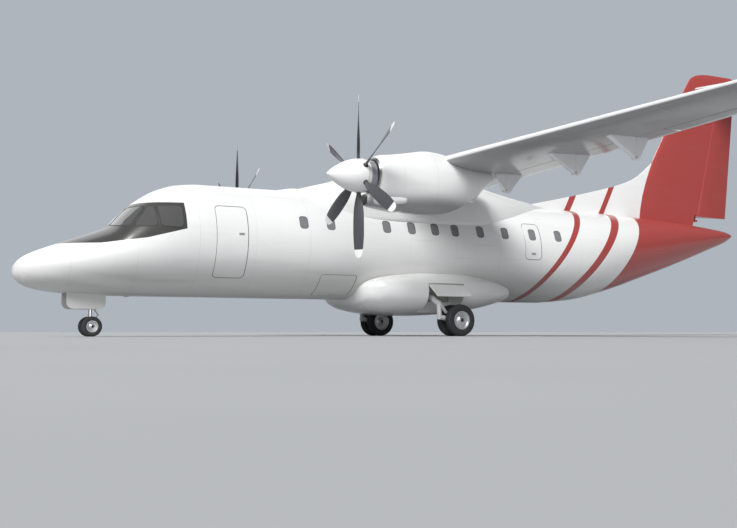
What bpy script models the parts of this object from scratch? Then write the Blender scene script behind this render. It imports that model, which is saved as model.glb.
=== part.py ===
"""Regional airliner: a high-wing twin turboprop with a cross-shaped tail, parked on its landing gear.

Frame: metres, +Z up, the nose towards -Y, the port side towards +X, the ground at Z = 0.
Lengths along the aircraft are stations, measured aft of the propeller plane, and heights are
measured up from the propeller axis. The function at() turns both into the frame above.
"""

import math

import bmesh
import bpy
from mathutils import Matrix, Vector

# Place of the propeller plane and axis in the frame
PROPELLER_Y = -5.2376
PROPELLER_Z = 3.90

# Small clearances
TOUCH = 0.0003  # between two pieces that rest on each other
FREE = 0.006  # round a piece that moves
PIN_GAP = 0.0005  # between the end of a hinge pin and what carries it

# Fuselage
BODY_RADIUS = 1.473
BODY_AXIS = -1.412
BODY_SIDES = 40
BARREL_FRONT = -2.85
BARREL_REAR = 8.40
RADOME_REAR = -6.30
FORWARD_REAR = -0.90
AFT_REAR = 12.20
TAIL_WALL = 0.12  # skin, frames and lining

# Wing: lines of the leading and trailing edges, station and height at the centre and per metre of span
WING_LE = (2.127, 0.0392)
WING_TE = (5.578, -0.1146)
WING_LE_HEIGHT = 0.456
WING_TE_HEIGHT = 0.299
DIHEDRAL = 0.0167
SEMI_SPAN = 13.75
WING_THICKNESS = 0.15
WING_CAMBER = 0.020
HINGE_CHORD = 0.73
COVE_CHORD = 0.725  # where the fixed wing ends, ahead of the flaps and ailerons
CENTRE_WING_END = 4.60
CENTRE_SPANS = (-CENTRE_WING_END, 0.0, CENTRE_WING_END)
FLAP_SPLIT = 3.93
FLAP_ROOT = 1.42
AILERON_ROOT = 10.20
AILERON_TIP = 13.10
FLAP_PIVOT_DROP = 0.155  # height of the flap pivot line below the propeller axis, at the centre
FAIRING_SPANS = (2.00, 3.94, 7.00, 9.20)
FAIRING_WIDTH = 0.15
FAIRING_REACH = 0.68
FAIRING_TAIL = 0.915  # part of the chord at which the rear wedge runs out under the flap

# Nacelle and propeller
NACELLE_X = 3.94
PROPELLER_RADIUS = 2.00
BLADES = 6
SPINNER_TIP = -0.876
SPINNER_RADIUS = 0.42
HUB_REAR = 0.33
ENGINE_FRONT, ENGINE_REAR = 0.80, 2.12
CAVITY_RADIUS = 0.41

# Tail
FIN_SWEEP = 0.5915  # metres aft per metre up
FIN_FOOT = 12.19  # station of the fin's leading edge at height zero
FIN_TOP = 4.98
RUDDER_FOOT = (15.28, 0.16)
RUDDER_HEAD = (16.44, 4.42)
RUDDER_TE_FOOT = 16.72
RUDDER_SHELF = 0.06  # height of the shelf under the rudder
RUDDER_TE_HEAD = 17.25
STAB_HEIGHT = 4.614
FIN_SPLIT = STAB_HEIGHT - 0.03  # where the fin ends and its cap begins
STAB_SEMI_SPAN = 4.75
STAB_ROOT_LE, STAB_TIP_LE = 15.33, 16.62
STAB_TE = 17.82
ELEVATOR_HINGE = 17.12
ELEVATOR_ROOT = 0.26
ELEVATOR_BOSS = 0.14  # half length of the bearing between the elevators

# Landing gear
MAIN_WHEEL_RADIUS, MAIN_TYRE_WIDTH = 0.43, 0.22
MAIN_WHEEL_X, MAIN_WHEEL_STATION, MAIN_WHEEL_OFFSET = 2.20, 3.95, 0.21
MAIN_LEG_STATION = 3.42
MAIN_BAY = (3.20, 4.33)
MAIN_BAY_INNER, MAIN_BAY_ROOF = 1.30, -2.46
NOSE_WHEEL_RADIUS, NOSE_TYRE_WIDTH = 0.25, 0.16
NOSE_LEG_STATION, NOSE_WHEEL_OFFSET = -5.45, 0.165
NOSE_BAY = (-6.12, -5.12)
NOSE_BAY_HALF, NOSE_BAY_ROOF = 0.26, -2.35
STEERING_HEAD = -3.10
WHEEL_SIDES = 24
AXLE_FREE = 0.0004  # between an axle and its bearing
JACK_PAD_RADIUS = 0.06
NOSE_JACK_STATION = -4.55
MAIN_JACK = (0.95, 4.90)  # distance from the centre line, and station

# Doors, as angles up from the body axis in degrees
PASSENGER_DOOR = dict(front=-2.69, rear=-1.83, low=-43.0, high=34.0)
CARGO_HATCH = dict(front=0.35, rear=1.45, low=-70.0, high=-35.0)
REAR_EXIT = dict(front=6.90, rear=7.50, low=-10.0, high=34.5)
DOOR_THICKNESS = 0.10

# Cockpit glazing: one band round the nose between two heights, back to a station on each side
GLAZING_LOW, GLAZING_HIGH, GLAZING_REAR = -1.22, -0.59, -3.52
GLAZING_PROUD, GLAZING_DEPTH = 0.006, 0.04
GLAZING_SLACK = 0.0008

for old in list(bpy.data.objects):
    bpy.data.objects.remove(old)


def paint(name, colour, roughness, metallic=0.0):
    material = bpy.data.materials.new(name)
    material.use_nodes = True
    shader = material.node_tree.nodes["Principled BSDF"]
    shader.inputs["Base Color"].default_value = (*colour, 1.0)
    shader.inputs["Roughness"].default_value = roughness
    shader.inputs["Metallic"].default_value = metallic
    material.diffuse_color = (*colour, 1.0)
    return material


WHITE = paint("white paint", (0.80, 0.80, 0.80), 0.30)
RED = paint("red paint", (0.38, 0.05, 0.05), 0.30)
GREY = paint("grey paint", (0.42, 0.43, 0.44), 0.40)

STEEL = paint("gear steel", (0.55, 0.56, 0.58), 0.35, 0.8)
ALLOY = paint("wheel alloy", (0.62, 0.63, 0.64), 0.40, 0.9)
IRON = paint("engine block", (0.20, 0.20, 0.21), 0.55, 0.6)
RUBBER = paint("tyre rubber", (0.03, 0.03, 0.03), 0.85)
BLADE = paint("blade composite", (0.07, 0.07, 0.08), 0.45)
GLASS = paint("cockpit glass", (0.09, 0.09, 0.09), 0.12)


def at(x, station, height):
    return Vector((x, station + PROPELLER_Y, height + PROPELLER_Z))


def solid(name, points, faces, material):
    """A closed mesh object whose faces point outwards."""
    mesh = bpy.data.meshes.new(name)
    mesh.from_pydata([tuple(p) for p in points], [], faces)
    form = bmesh.new()
    form.from_mesh(mesh)
    bmesh.ops.remove_doubles(form, verts=form.verts, dist=1e-6)
    bmesh.ops.recalc_face_normals(form, faces=form.faces)
    form.to_mesh(mesh)
    form.free()
    mesh.shade_smooth()
    mesh.set_sharp_from_angle(angle=math.radians(35))
    mesh.materials.append(material)
    made = bpy.data.objects.new(name, mesh)
    bpy.context.scene.collection.objects.link(made)
    return made


def loft(name, rings, material):
    """Joins rings of equal length and closes both ends. The triangles always run the same way, so that
    a piece and the cutter grown from it stay parallel."""
    count = len(rings[0])
    points = [p for ring in rings for p in ring]
    faces = [list(range(count)), list(range(len(points) - count, len(points)))]
    for row in range(len(rings) - 1):
        for i in range(count):
            a, b = row * count + i, row * count + (i + 1) % count
            faces += [[a, b, b + count], [a, b + count, a + count]]
    return solid(name, points, faces, material)


def box(name, low, high, material):
    """A box between two corners given as (x, station, height)."""
    ring = [(low[0], low[2]), (high[0], low[2]), (high[0], high[2]), (low[0], high[2])]
    return loft(name, [[at(x, s, z) for x, z in ring] for s in (low[1], high[1])], material)


def prism(name, outline, front, rear, material):
    """An outline of (x, height) pairs drawn along the aircraft between two stations."""
    return loft(name, [[at(x, s, z) for x, z in outline] for s in (front, rear)], material)


def turned(name, profile, centre, axis, sides, material, flat=False):
    """Turns a closed or open profile of (distance along the axis, radius) pairs. A flat one has the
    middle of a facet, not a corner, at its start, and the radius is measured there."""
    axis = Vector(axis).normalized()
    start = axis.orthogonal().normalized() if abs(axis.x) < 0.9 else Vector((0, 0, 1))
    start = (start - start.dot(axis) * axis).normalized()
    other = axis.cross(start)
    stretch = 1 / math.cos(math.pi / sides) if flat else 1.0
    rings = []
    for step in range(sides):
        turn = 2 * math.pi * (step + (0.5 if flat else 0.0)) / sides
        out = stretch * (math.cos(turn) * start + math.sin(turn) * other)
        rings.append([centre + along * axis + radius * out for along, radius in profile])
    count = len(profile)
    points = [p for ring in rings for p in ring]
    faces = []
    closed = profile[0][1] > 0 and profile[-1][1] > 0
    for step in range(sides):
        after = (step + 1) % sides
        for i in range(count if closed else count - 1):
            j = (i + 1) % count
            faces.append([step * count + i, step * count + j, after * count + j, after * count + i])
    return solid(name, points, faces, material)


def rod(name, start, end, radius, sides, material):
    along = end - start
    profile = [(0, 0), (0, radius), (along.length, radius), (along.length, 0)]
    return turned(name, profile, start, along, sides, material)


def combine(piece, tool, operation, solver="EXACT"):
    change = piece.modifiers.new(operation.lower(), "BOOLEAN")
    change.operation = operation
    change.solver = solver
    change.object = tool
    tool.hide_render = True
    tool.display_type = "WIRE"


def cut(piece, *tools, solver="EXACT"):
    for tool in tools:
        combine(piece, tool, "DIFFERENCE", solver)


def fuse(piece, *tools):
    for tool in tools:
        combine(piece, tool, "UNION")


def hinge_on(piece, point):
    """Puts the object's origin on its joint axis."""
    piece.data.transform(Matrix.Translation(-point))
    piece.location = point


def pin_reach(face_angle, radius):
    """How far short of a face a pin's end stays when the face leans by face_angle from square."""
    return (PIN_GAP + radius * math.sin(face_angle)) / math.cos(face_angle)


# Curves through a table


def smooth(rows, column, station):
    """Reads one column of a table at a station along a smooth curve that never overshoots."""
    places = [row[0] for row in rows]
    values = [row[column] for row in rows]
    if station <= places[0]:
        return values[0]
    if station >= places[-1]:
        return values[-1]
    slopes = [(values[i + 1] - values[i]) / (places[i + 1] - places[i]) for i in range(len(rows) - 1)]

    def tangent(i):
        if i in (0, len(rows) - 1):
            return slopes[0] if i == 0 else slopes[-1]
        before, after = slopes[i - 1], slopes[i]
        return 0.0 if before * after <= 0 else 2 * before * after / (before + after)

    i = max(k for k in range(len(rows) - 1) if places[k] <= station)
    gap = places[i + 1] - places[i]
    u = (station - places[i]) / gap
    return (
        values[i] * (1 + 2 * u) * (1 - u) ** 2
        + gap * tangent(i) * u * (1 - u) ** 2
        + values[i + 1] * u * u * (3 - 2 * u)
        + gap * tangent(i + 1) * u * u * (u - 1)
    )


def oval(station, centre_x, top, bottom, half_width, waist, sides, grow=0.0, square=2.0):
    """A ring whose upper and lower halves are half ovals that meet at the waist."""
    ring = []
    for k in range(sides):
        turn = 2 * math.pi * k / sides
        c, s = math.cos(turn), math.sin(turn)
        c = math.copysign(abs(c) ** (2 / square), c)
        s = math.copysign(abs(s) ** (2 / square), s)
        rise = (top - waist if s > 0 else waist - bottom) + grow
        ring.append(at(centre_x + (half_width + grow) * c, station, waist + rise * s))
    return ring


# Fuselage

BODY_TOP, BODY_BOTTOM = BODY_AXIS + BODY_RADIUS, BODY_AXIS - BODY_RADIUS
NOSE_FORM = (
    # station, top, bottom, half width, waist
    (-7.345, -2.24, -2.40, 0.08, -2.32),
    (-7.25, -2.08, -2.55, 0.27, -2.31),
    (-7.00, -1.90, -2.70, 0.50, -2.27),
    (-6.60, -1.73, -2.79, 0.74, -2.20),
    (-6.00, -1.51, -2.85, 1.00, -2.08),
    (-5.30, -1.25, -2.88, 1.22, -1.92),
    (-5.05, -1.13, -2.885, 1.28, -1.86),
    (-4.75, -0.82, -2.885, 1.34, -1.78),
    (-4.35, -0.46, -2.885, 1.40, -1.68),
    (-3.85, -0.16, -2.885, 1.45, -1.56),
    (-3.35, 0.00, -2.885, 1.468, -1.47),
    (BARREL_FRONT, BODY_TOP, BODY_BOTTOM, BODY_RADIUS, BODY_AXIS),
)
TAIL_FORM = (
    # station, top, bottom, half width, waist
    (BARREL_REAR, BODY_TOP, BODY_BOTTOM, BODY_RADIUS, BODY_AXIS),
    (9.60, 0.055, -2.78, 1.44, -1.36),
    (11.00, 0.03, -2.47, 1.31, -1.19),
    (12.50, -0.02, -2.03, 1.07, -0.97),
    (14.20, -0.10, -1.50, 0.74, -0.74),
    (15.80, -0.21, -0.96, 0.39, -0.55),
    (16.70, -0.31, -0.64, 0.17, -0.46),
    (16.95, -0.38, -0.50, 0.06, -0.44),
)


def body_ring(station, grow=0.0):
    form = NOSE_FORM if station < BARREL_FRONT else TAIL_FORM
    row = [smooth(form, column, station) for column in range(1, 5)]
    return oval(station, 0.0, *row, BODY_SIDES, grow)


def body_stations():
    """Every station of the fuselage that has a ring, with steps between the rows of the tail."""
    nose = [row[0] for row in NOSE_FORM] + [RADOME_REAR, -7.30, -7.12, -6.80]
    tail = [row[0] for row in TAIL_FORM]
    halves = [(a + b) / 2 for a, b in zip(tail, tail[1:])]
    return sorted({*nose, FORWARD_REAR, AFT_REAR, *tail, *halves})


def body_piece(name, front, rear, material, grow=0.0):
    """The fuselage between two stations, less half the gap at each end, or a cutter grown by a gap."""
    ends = (front + TOUCH / 2, rear - TOUCH / 2)
    inner = [s for s in body_stations() if front + 0.001 < s < rear - 0.001]
    return loft(name, [body_ring(s, grow) for s in (ends[0], *inner, ends[1])], material)


def body_core(name, front, rear):
    return body_piece(name, front, rear, GREY, grow=TOUCH * 1.5)


def facet_point(angle, inset=0.0):
    """A point of the barrel's flat-sided ring at an angle, as (x, height)."""
    step = 2 * math.pi / BODY_SIDES
    middle = (math.floor(angle / step + 1e-9) + 0.5) * step
    radius = (BODY_RADIUS * math.cos(step / 2) - inset) / math.cos(angle - middle)
    return radius * math.cos(angle), BODY_AXIS + radius * math.sin(angle)


def arc_angles(low, high):
    step = 2 * math.pi / BODY_SIDES
    inner = [k * step for k in range(-BODY_SIDES, BODY_SIDES) if low + 0.01 < k * step < high - 0.01]
    return [low, *inner, high]


def door_solid(name, door, side, inset=0.0, material=WHITE):
    """A curved panel of the barrel's skin, smaller than its doorway by the gap all round."""
    gap = FREE / BODY_RADIUS
    angles = arc_angles(math.radians(door["low"]) + gap, math.radians(door["high"]) - gap)
    outline = [facet_point(a, inset) for a in angles]
    outline += [facet_point(a, inset + DOOR_THICKNESS) for a in reversed(angles)]
    outline = [(side * x, z) for x, z in outline]
    return prism(name, outline, door["front"] + FREE, door["rear"] - FREE, material)


def doorway(name, door, side, depth_x, proud=0.12, straight=True):
    """The space cut for a door: the rebate through the skin and the recess behind it."""
    low, high = math.radians(door["low"]), math.radians(door["high"])
    outer = BODY_RADIUS + proud
    skin = BODY_RADIUS - DOOR_THICKNESS - 0.03
    angles = arc_angles(low, high)
    outline = [(outer * math.cos(a), BODY_AXIS + outer * math.sin(a)) for a in angles]
    top = (skin * math.cos(high), BODY_AXIS + skin * math.sin(high))
    bottom = (skin * math.cos(low), BODY_AXIS + skin * math.sin(low))
    if straight:
        outline += [top, (depth_x, top[1]), (depth_x, bottom[1]), bottom]
    else:
        outline += [(skin * math.cos(a), BODY_AXIS + skin * math.sin(a)) for a in reversed(angles)]
    outline = [(side * x, z) for x, z in outline]
    return prism(name, outline, door["front"], door["rear"], GREY)


def front_at(height):
    """The station at which the top of the nose reaches a height."""
    ahead, behind = NOSE_FORM[0][0], BARREL_FRONT
    for _ in range(40):
        middle = (ahead + behind) / 2
        if smooth(NOSE_FORM, 1, middle) < height:
            ahead = middle
        else:
            behind = middle
    return behind


def level_point(height, station):
    """Half the width of the nose at a height and a station."""
    top, bottom, half, waist = (smooth(NOSE_FORM, column, station) for column in range(1, 5))
    rise = top - waist if height > waist else waist - bottom
    return half * math.sqrt(max(0.0, 1 - ((height - waist) / rise) ** 2))


def glazing_row(height, out, steps=7):
    """The level section of the nose from the starboard rear end round the front to the port one, moved
    out by a distance, as (x, station) pairs. The two ends move straight sideways."""
    front, rear = front_at(height), GLAZING_REAR
    stations = [front + (rear - front) * (1 - math.cos(math.pi / 2 * k / steps)) for k in range(steps + 1)]
    port = [Vector((level_point(height, s), s)) for s in stations]
    port[0].x = 0.0
    way_round = [Vector((-q.x, q.y)) for q in reversed(port[1:])] + port
    moved = [way_round[0] - Vector((out, 0))]
    for before, q, after in zip(way_round, way_round[1:], way_round[2:]):
        run = after - before
        moved.append(q + Vector((run.y, -run.x)).normalized() * out)
    moved.append(way_round[-1] + Vector((out, 0)))
    return [tuple(q) for q in moved]


def glazing_band(name, slack=0.0):
    """The glass round the cockpit, or the cutter grown from it, which also reaches well outside."""
    heights = [GLAZING_LOW + (GLAZING_HIGH - GLAZING_LOW) * k / 3 for k in range(4)]
    faces = []
    for out in (GLAZING_PROUD + (0.05 if slack else 0.0), -GLAZING_DEPTH - slack):
        rows = [(z, glazing_row(z, out)) for z in heights]
        if slack:
            rows = [(heights[0] - slack, rows[0][1]), *rows, (heights[-1] + slack, rows[-1][1])]
        faces.append(rows)
    rows = faces[0] + faces[1][::-1]
    columns = [[at(*row[k], z) for z, row in rows] for k in range(len(rows[0][1]))]
    if slack:
        first, last = ([p + Vector((0, slack, 0)) for p in column] for column in (columns[0], columns[-1]))
        columns = [first, *columns, last]
    return loft(name, columns, GLASS)


def build_fuselage():
    body_piece("nose_radome", NOSE_FORM[0][0], RADOME_REAR, WHITE)

    forward = body_piece("forward_fuselage", RADOME_REAR, FORWARD_REAR, WHITE)
    cut(forward, doorway("cutter_passenger_door", PASSENGER_DOOR, 1, 0.45))
    low, high = (-NOSE_BAY_HALF, NOSE_BAY[0], -3.2), (NOSE_BAY_HALF, NOSE_BAY[1], NOSE_BAY_ROOF)
    cut(forward, box("cutter_nose_bay", low, high, GREY))
    cut(forward, glazing_band("cutter_glazing", GLAZING_SLACK))
    glazing_band("cockpit_glazing")
    pad = (at(0, NOSE_JACK_STATION, -2.80), at(0, NOSE_JACK_STATION, -2.90))
    fuse(forward, rod("nose_jack_pad", *pad, JACK_PAD_RADIUS, 16, STEEL))

    centre = body_piece("centre_fuselage", FORWARD_REAR, BARREL_REAR, WHITE)
    cut(centre, doorway("cutter_cargo_hatch", CARGO_HATCH, 1, 0.35))
    for side, mark in ((1, "L"), (-1, "R")):
        cut(centre, doorway(f"cutter_rear_exit_{mark}", REAR_EXIT, side, 0.0, straight=False))

    # Thin skins with nothing inside keep the weight ahead of the main wheels.
    aft = body_piece("aft_fuselage", BARREL_REAR, AFT_REAR, WHITE)
    cut(aft, body_piece("cutter_aft_space", BARREL_REAR - 0.1, AFT_REAR + 0.1, GREY, -TAIL_WALL))
    cone = body_piece("tail_cone", AFT_REAR, TAIL_FORM[-1][0], RED)
    cut(cone, body_piece("cutter_cone_space", AFT_REAR - 0.1, 15.00, GREY, -TAIL_WALL))


def build_doors():
    # Hinge bosses at both ends of a hinged door end just short of the doorway's side faces.
    for name, door, edge in (("passenger_door", PASSENGER_DOOR, "low"), ("cargo_hatch", CARGO_HATCH, "high")):
        panel = door_solid(name, door, 1)
        shift = FREE / BODY_RADIUS * (1 if edge == "low" else -1)
        x, z = facet_point(math.radians(door[edge]) + shift)
        ends = (at(x, door["front"] + PIN_GAP, z), at(x, door["rear"] - PIN_GAP, z))
        fuse(panel, rod(f"pin_{name}", *ends, 0.005, 12, STEEL))
        hinge_on(panel, (ends[0] + ends[1]) / 2)
    for side, mark in ((1, "L"), (-1, "R")):
        gap = TOUCH / FREE
        door = dict(REAR_EXIT)
        door["front"] -= FREE * (1 - gap)
        door["rear"] += FREE * (1 - gap)
        door_solid(f"rear_exit_{mark}", door, side)


# Fairings

GEAR_FAIRING = (
    # station, half width, bottom, shoulder height
    (1.60, 1.00, -2.80, -2.54),
    (1.70, 1.40, -3.02, -2.40),
    (2.05, 1.76, -3.18, -2.26),
    (2.70, 1.97, -3.28, -2.16),
    (3.60, 2.05, -3.32, -2.10),
    (4.60, 2.03, -3.27, -2.10),
    (5.40, 1.88, -3.15, -2.20),
    (6.00, 1.62, -3.02, -2.34),
    (6.40, 1.32, -2.92, -2.48),
    (6.60, 0.98, -2.85, -2.58),
)
WING_FAIRING = (
    # station, half width, top
    (-0.60, 0.45, -0.10),
    (0.10, 0.88, 0.12),
    (1.00, 1.18, 0.36),
    (2.00, 1.31, 0.66),
    (2.80, 1.35, 0.80),
    (4.20, 1.35, 0.80),
    (5.40, 1.30, 0.60),
    (6.60, 1.10, 0.36),
    (7.80, 0.70, 0.20),
    (8.60, 0.30, 0.12),
)


def build_gear_fairing():
    rings = []
    for station, half, bottom, shoulder in GEAR_FAIRING:
        middle = (shoulder + bottom) / 2 + 0.10
        rings.append(oval(station, 0.0, shoulder, bottom, half, middle, 32, square=2.9))
    fairing = loft("gear_fairing", rings, WHITE)
    cut(fairing, body_core("core_under_gear", 0.9, 7.4))
    for side, mark in ((1, "L"), (-1, "R")):
        inner, outer = sorted((side * MAIN_BAY_INNER, side * 2.6))
        low, high = (inner, MAIN_BAY[0], -3.6), (outer, MAIN_BAY[1], MAIN_BAY_ROOF)
        cut(fairing, box(f"cutter_main_bay_{mark}", low, high, GREY))
        pad = (at(side * MAIN_JACK[0], MAIN_JACK[1], -3.05), at(side * MAIN_JACK[0], MAIN_JACK[1], -3.28))
        fuse(fairing, rod(f"main_jack_pad_{mark}", *pad, JACK_PAD_RADIUS, 16, STEEL))


def build_wing_fairing():
    rings = []
    for station, half, top in WING_FAIRING:
        rings.append(oval(station, 0.0, top, -0.90, half, -0.62, 28, square=3.2))
    fairing = loft("wing_fairing", rings, WHITE)
    cut(fairing, body_core("core_under_wing", -1.5, 9.3))
    cut(fairing, wing_box("core_in_fairing", CENTRE_SPANS, TOUCH * 1.5))


# Wing


def line(pair, x):
    return pair[0] + pair[1] * abs(x)


def wing_point(x, chord_part, lift):
    """A point of the wing at a span and part of the chord, lifted in parts of the chord."""
    front, rear = line(WING_LE, x), line(WING_TE, x)
    chord = rear - front
    rise = DIHEDRAL * abs(x)
    height = WING_LE_HEIGHT + (WING_TE_HEIGHT - WING_LE_HEIGHT) * chord_part + rise
    return at(x, front + chord * chord_part, height + lift * chord)


def half_thickness(u, thickness):
    return 5 * thickness * (
        0.2969 * math.sqrt(u) - 0.1260 * u - 0.3516 * u * u + 0.2843 * u**3 - 0.1015 * u**4
    )


def wing_lift(u, sign, thickness=WING_THICKNESS, camber=WING_CAMBER):
    return 4 * camber * u * (1 - u) + sign * half_thickness(u, thickness)


FRONT_PARTS = (0.0, 0.008, 0.03, 0.08, 0.17, 0.32, 0.52)


def wing_section(x, rear_part, grow=0.0):
    """The wing's outline from the leading edge back to a part of its chord."""
    parts = [*FRONT_PARTS, rear_part]
    upper = [wing_point(x, u, wing_lift(u, 1)) + Vector((0, 0, grow)) for u in parts]
    lower = [wing_point(x, u, wing_lift(u, -1)) - Vector((0, 0, grow)) for u in parts[1:]]
    ring = upper + lower[::-1]
    ring[0] = ring[0] - Vector((0, grow, 0))
    ring[0].z -= grow
    for corner in (len(parts) - 1, len(parts)):
        ring[corner] = ring[corner] + Vector((0, grow, 0))
    return ring


def wing_box(name, spans, grow=0.0, material=WHITE):
    return loft(name, [wing_section(x, COVE_CHORD, grow) for x in spans], material)


def pivot_point(x):
    """A point of the flaps' pivot line, below the wing."""
    return at(x, wing_point(x, HINGE_CHORD, 0)[1] - PROPELLER_Y, DIHEDRAL * abs(x) - FLAP_PIVOT_DROP)


def pivot_axis(side):
    return (pivot_point(side * 10.0) - pivot_point(side * 1.0)).normalized()


def square_cut(a, b, axis, origin, reach):
    """Where the line through a and b crosses the plane square to the axis at a reach from the origin."""
    run = b - a
    return a + run * ((reach - (a - origin).dot(axis)) / run.dot(axis))


def trailing_ring(side, reach, outline):
    """A section of a trailing surface, square to the hinge axis at a reach along it."""
    axis, origin = pivot_axis(side), pivot_point(side * 1.0)
    near, far = side * 1.0, side * 12.0
    return [
        square_cut(wing_point(near, u, lift), wing_point(far, u, lift), axis, origin, reach)
        for u, lift in outline
    ]


def flap_outline():
    parts = (HINGE_CHORD, 0.86, 1.0)
    upper = [(u, wing_lift(u, 1)) for u in parts]
    lower = [(u, wing_lift(u, -1)) for u in parts]
    return upper + lower[::-1]


def axis_reach(side, x):
    """The reach along the hinge axis of the point of the pivot line at a span."""
    return (pivot_point(side * x) - pivot_point(side * 1.0)).dot(pivot_axis(side))


def fairing_half(name, side, x, moving):
    """Half of a flap track fairing: the fixed front wedge or the rear wedge under the flap."""
    axis, pivot = pivot_axis(side), pivot_point(side * x)
    aft = Vector((0, 0, side)).cross(axis).normalized()
    up = axis.cross(aft) * side
    chord = line(WING_TE, x) - line(WING_LE, x)
    skin = wing_point(side * x, HINGE_CHORD, wing_lift(HINGE_CHORD, -1))
    rise = skin.z - pivot.z
    if moving:
        tail = wing_point(side * x, FAIRING_TAIL, wing_lift(FAIRING_TAIL, -1))
        outline = [(0.002, -0.012), (0.002, rise + 0.03)]
        outline += [(tail.y - pivot.y, tail.z - pivot.z + 0.015), (chord * 0.04, chord * -0.022)]
        width = FAIRING_WIDTH - 0.026
    else:
        behind_nacelle = x == NACELLE_X
        reach = 0.30 if behind_nacelle else FAIRING_REACH
        front = HINGE_CHORD - reach / chord
        tip = wing_point(side * x, front, wing_lift(front, -1))
        outline = [(-0.008, -0.012), (-0.008, rise + 0.03), (-reach, tip.z - pivot.z + 0.02)]
        outline.append((-reach, tip.z - pivot.z - (0.10 if behind_nacelle else 0.01)))
        width = FAIRING_WIDTH
    rings = []
    for end in (-width / 2, width / 2):
        rings.append([pivot + axis * end + aft * y + up * z for y, z in outline])
    return loft(name, rings, GREY)


def pivot_lugs(name, side, x):
    """The two cheeks of the fixed wedge that hold the pivot pin."""
    axis, pivot = pivot_axis(side), pivot_point(side * x)
    inner = (FAIRING_WIDTH - 0.026) / 2 + PIN_GAP
    lugs = []
    for way, mark in ((-1, "a"), (1, "b")):
        start = pivot + axis * way * inner
        end = pivot + axis * way * (FAIRING_WIDTH / 2 + 0.004)
        lugs.append(rod(f"{name}_{mark}", start, end, 0.034, 14, GREY))
    return lugs


def build_wing():
    centre = wing_box("wing_centre", CENTRE_SPANS)
    for side, mark in ((1, "L"), (-1, "R")):
        inner, outer = CENTRE_WING_END + TOUCH, AILERON_TIP + 0.02
        panel = wing_box(f"wing_outer_{mark}", (side * inner, side * outer))
        for number, x in enumerate(FAIRING_SPANS):
            piece = centre if x < CENTRE_WING_END else panel
            fuse(piece, fairing_half(f"wedge_{mark}{number}", side, x, False))
            fuse(piece, *pivot_lugs(f"lug_{mark}{number}", side, x))
        build_wing_tip(side, mark)
        build_flaps(side, mark)
        build_aileron(side, mark)


def build_wing_tip(side, mark):
    rows = (
        # span, shrink of the chord from the front, shrink of the thickness
        (AILERON_TIP + 0.02 + TOUCH, 0.0, 1.0),
        (SEMI_SPAN - 0.28, 0.0, 1.0),
        (SEMI_SPAN - 0.08, 0.04, 0.72),
        (SEMI_SPAN, 0.12, 0.25),
    )
    parts = [*FRONT_PARTS, 0.75, 0.98]
    rings = []
    for x, front, thin in rows:
        ring = []
        for sign, order in ((1, parts), (-1, parts[:0:-1])):
            for u in order:
                lift = wing_lift(u, sign * thin, camber=WING_CAMBER)
                ring.append(wing_point(side * x, front + u * (1 - front), lift))
        rings.append(ring)
    loft(f"wing_tip_{mark}", rings, WHITE)


def build_flaps(side, mark):
    pivot = pivot_point(side * 1.0)
    for name, inner, outer in (
        ("flap_inboard", FLAP_ROOT, FLAP_SPLIT - 0.10),
        ("flap_outboard", FLAP_SPLIT - 0.094, AILERON_ROOT - 0.075),
    ):
        ends = [axis_reach(side, x) for x in (inner, outer)]
        rings = [trailing_ring(side, reach, flap_outline()) for reach in ends]
        flap = loft(f"{name}_{mark}", rings, WHITE)
        for number, x in enumerate(FAIRING_SPANS):
            if inner < x < outer:
                fuse(flap, fairing_half(f"tail_{mark}{number}", side, x, True))
        hinge_on(flap, pivot)


def round_nose(point, radius, aft, up, steps=4):
    """Points of a half circle round a hinge, from its upper side over the front to its lower side."""
    return [
        point - aft * radius * math.sin(math.pi * k / steps) + up * radius * math.cos(math.pi * k / steps)
        for k in range(steps + 1)
    ]


def aileron_hinge(side):
    lift = (wing_lift(HINGE_CHORD, 1) + wing_lift(HINGE_CHORD, -1)) / 2
    part = HINGE_CHORD + 0.045
    ends = [wing_point(side * x, part, lift * 0.94) for x in (AILERON_ROOT, AILERON_TIP)]
    return ends, (ends[1] - ends[0]).normalized()


def build_aileron(side, mark):
    (root, tip), axis = aileron_hinge(side)
    length = (tip - root).length
    aft = Vector((0, 1, 0)) - axis * axis.y
    aft.normalize()
    up = Vector((0, 0, 1))
    rings = []
    for place in (FREE * 1.4, length - FREE * 1.4):
        centre = root + axis * place
        x = abs(centre.x)
        radius = half_thickness(HINGE_CHORD + 0.045, WING_THICKNESS) * (line(WING_TE, x) - line(WING_LE, x))
        trailing = [wing_point(side * x, 1.0, wing_lift(1.0, sign)) for sign in (-1, 1)]
        rings.append(round_nose(centre, radius, aft, up) + trailing)
    surface = loft(f"aileron_{mark}", rings, WHITE)
    # Its pin ends just short of the wing tip's flat root face.
    face = AILERON_TIP + 0.02 + TOUCH
    start = tip - axis * 0.05
    run = (side * face - start.x) / axis.x - pin_reach(math.acos(abs(axis.x)), 0.018)
    fuse(surface, rod(f"pin_aileron_{mark}", start, start + axis * run, 0.018, 12, STEEL))
    hinge_on(surface, root)


# Nacelles, engines and propellers

NACELLE_FORM = (
    # station, top, bottom, half width, waist
    (0.36, 0.43, -0.45, 0.43, 0.0),
    (0.40, 0.48, -0.52, 0.47, -0.01),
    (0.52, 0.53, -0.62, 0.51, -0.03),
    (0.80, 0.57, -0.74, 0.53, -0.06),
    (1.30, 0.65, -0.85, 0.55, -0.10),
    (1.90, 0.74, -0.88, 0.56, -0.10),
    (2.35, 0.70, -0.83, 0.54, -0.06),
    (2.80, 0.55, -0.68, 0.47, 0.0),
    (3.30, 0.42, -0.38, 0.33, 0.08),
    (3.75, 0.36, -0.03, 0.15, 0.18),
    (3.95, 0.30, 0.12, 0.05, 0.21),
)


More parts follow.
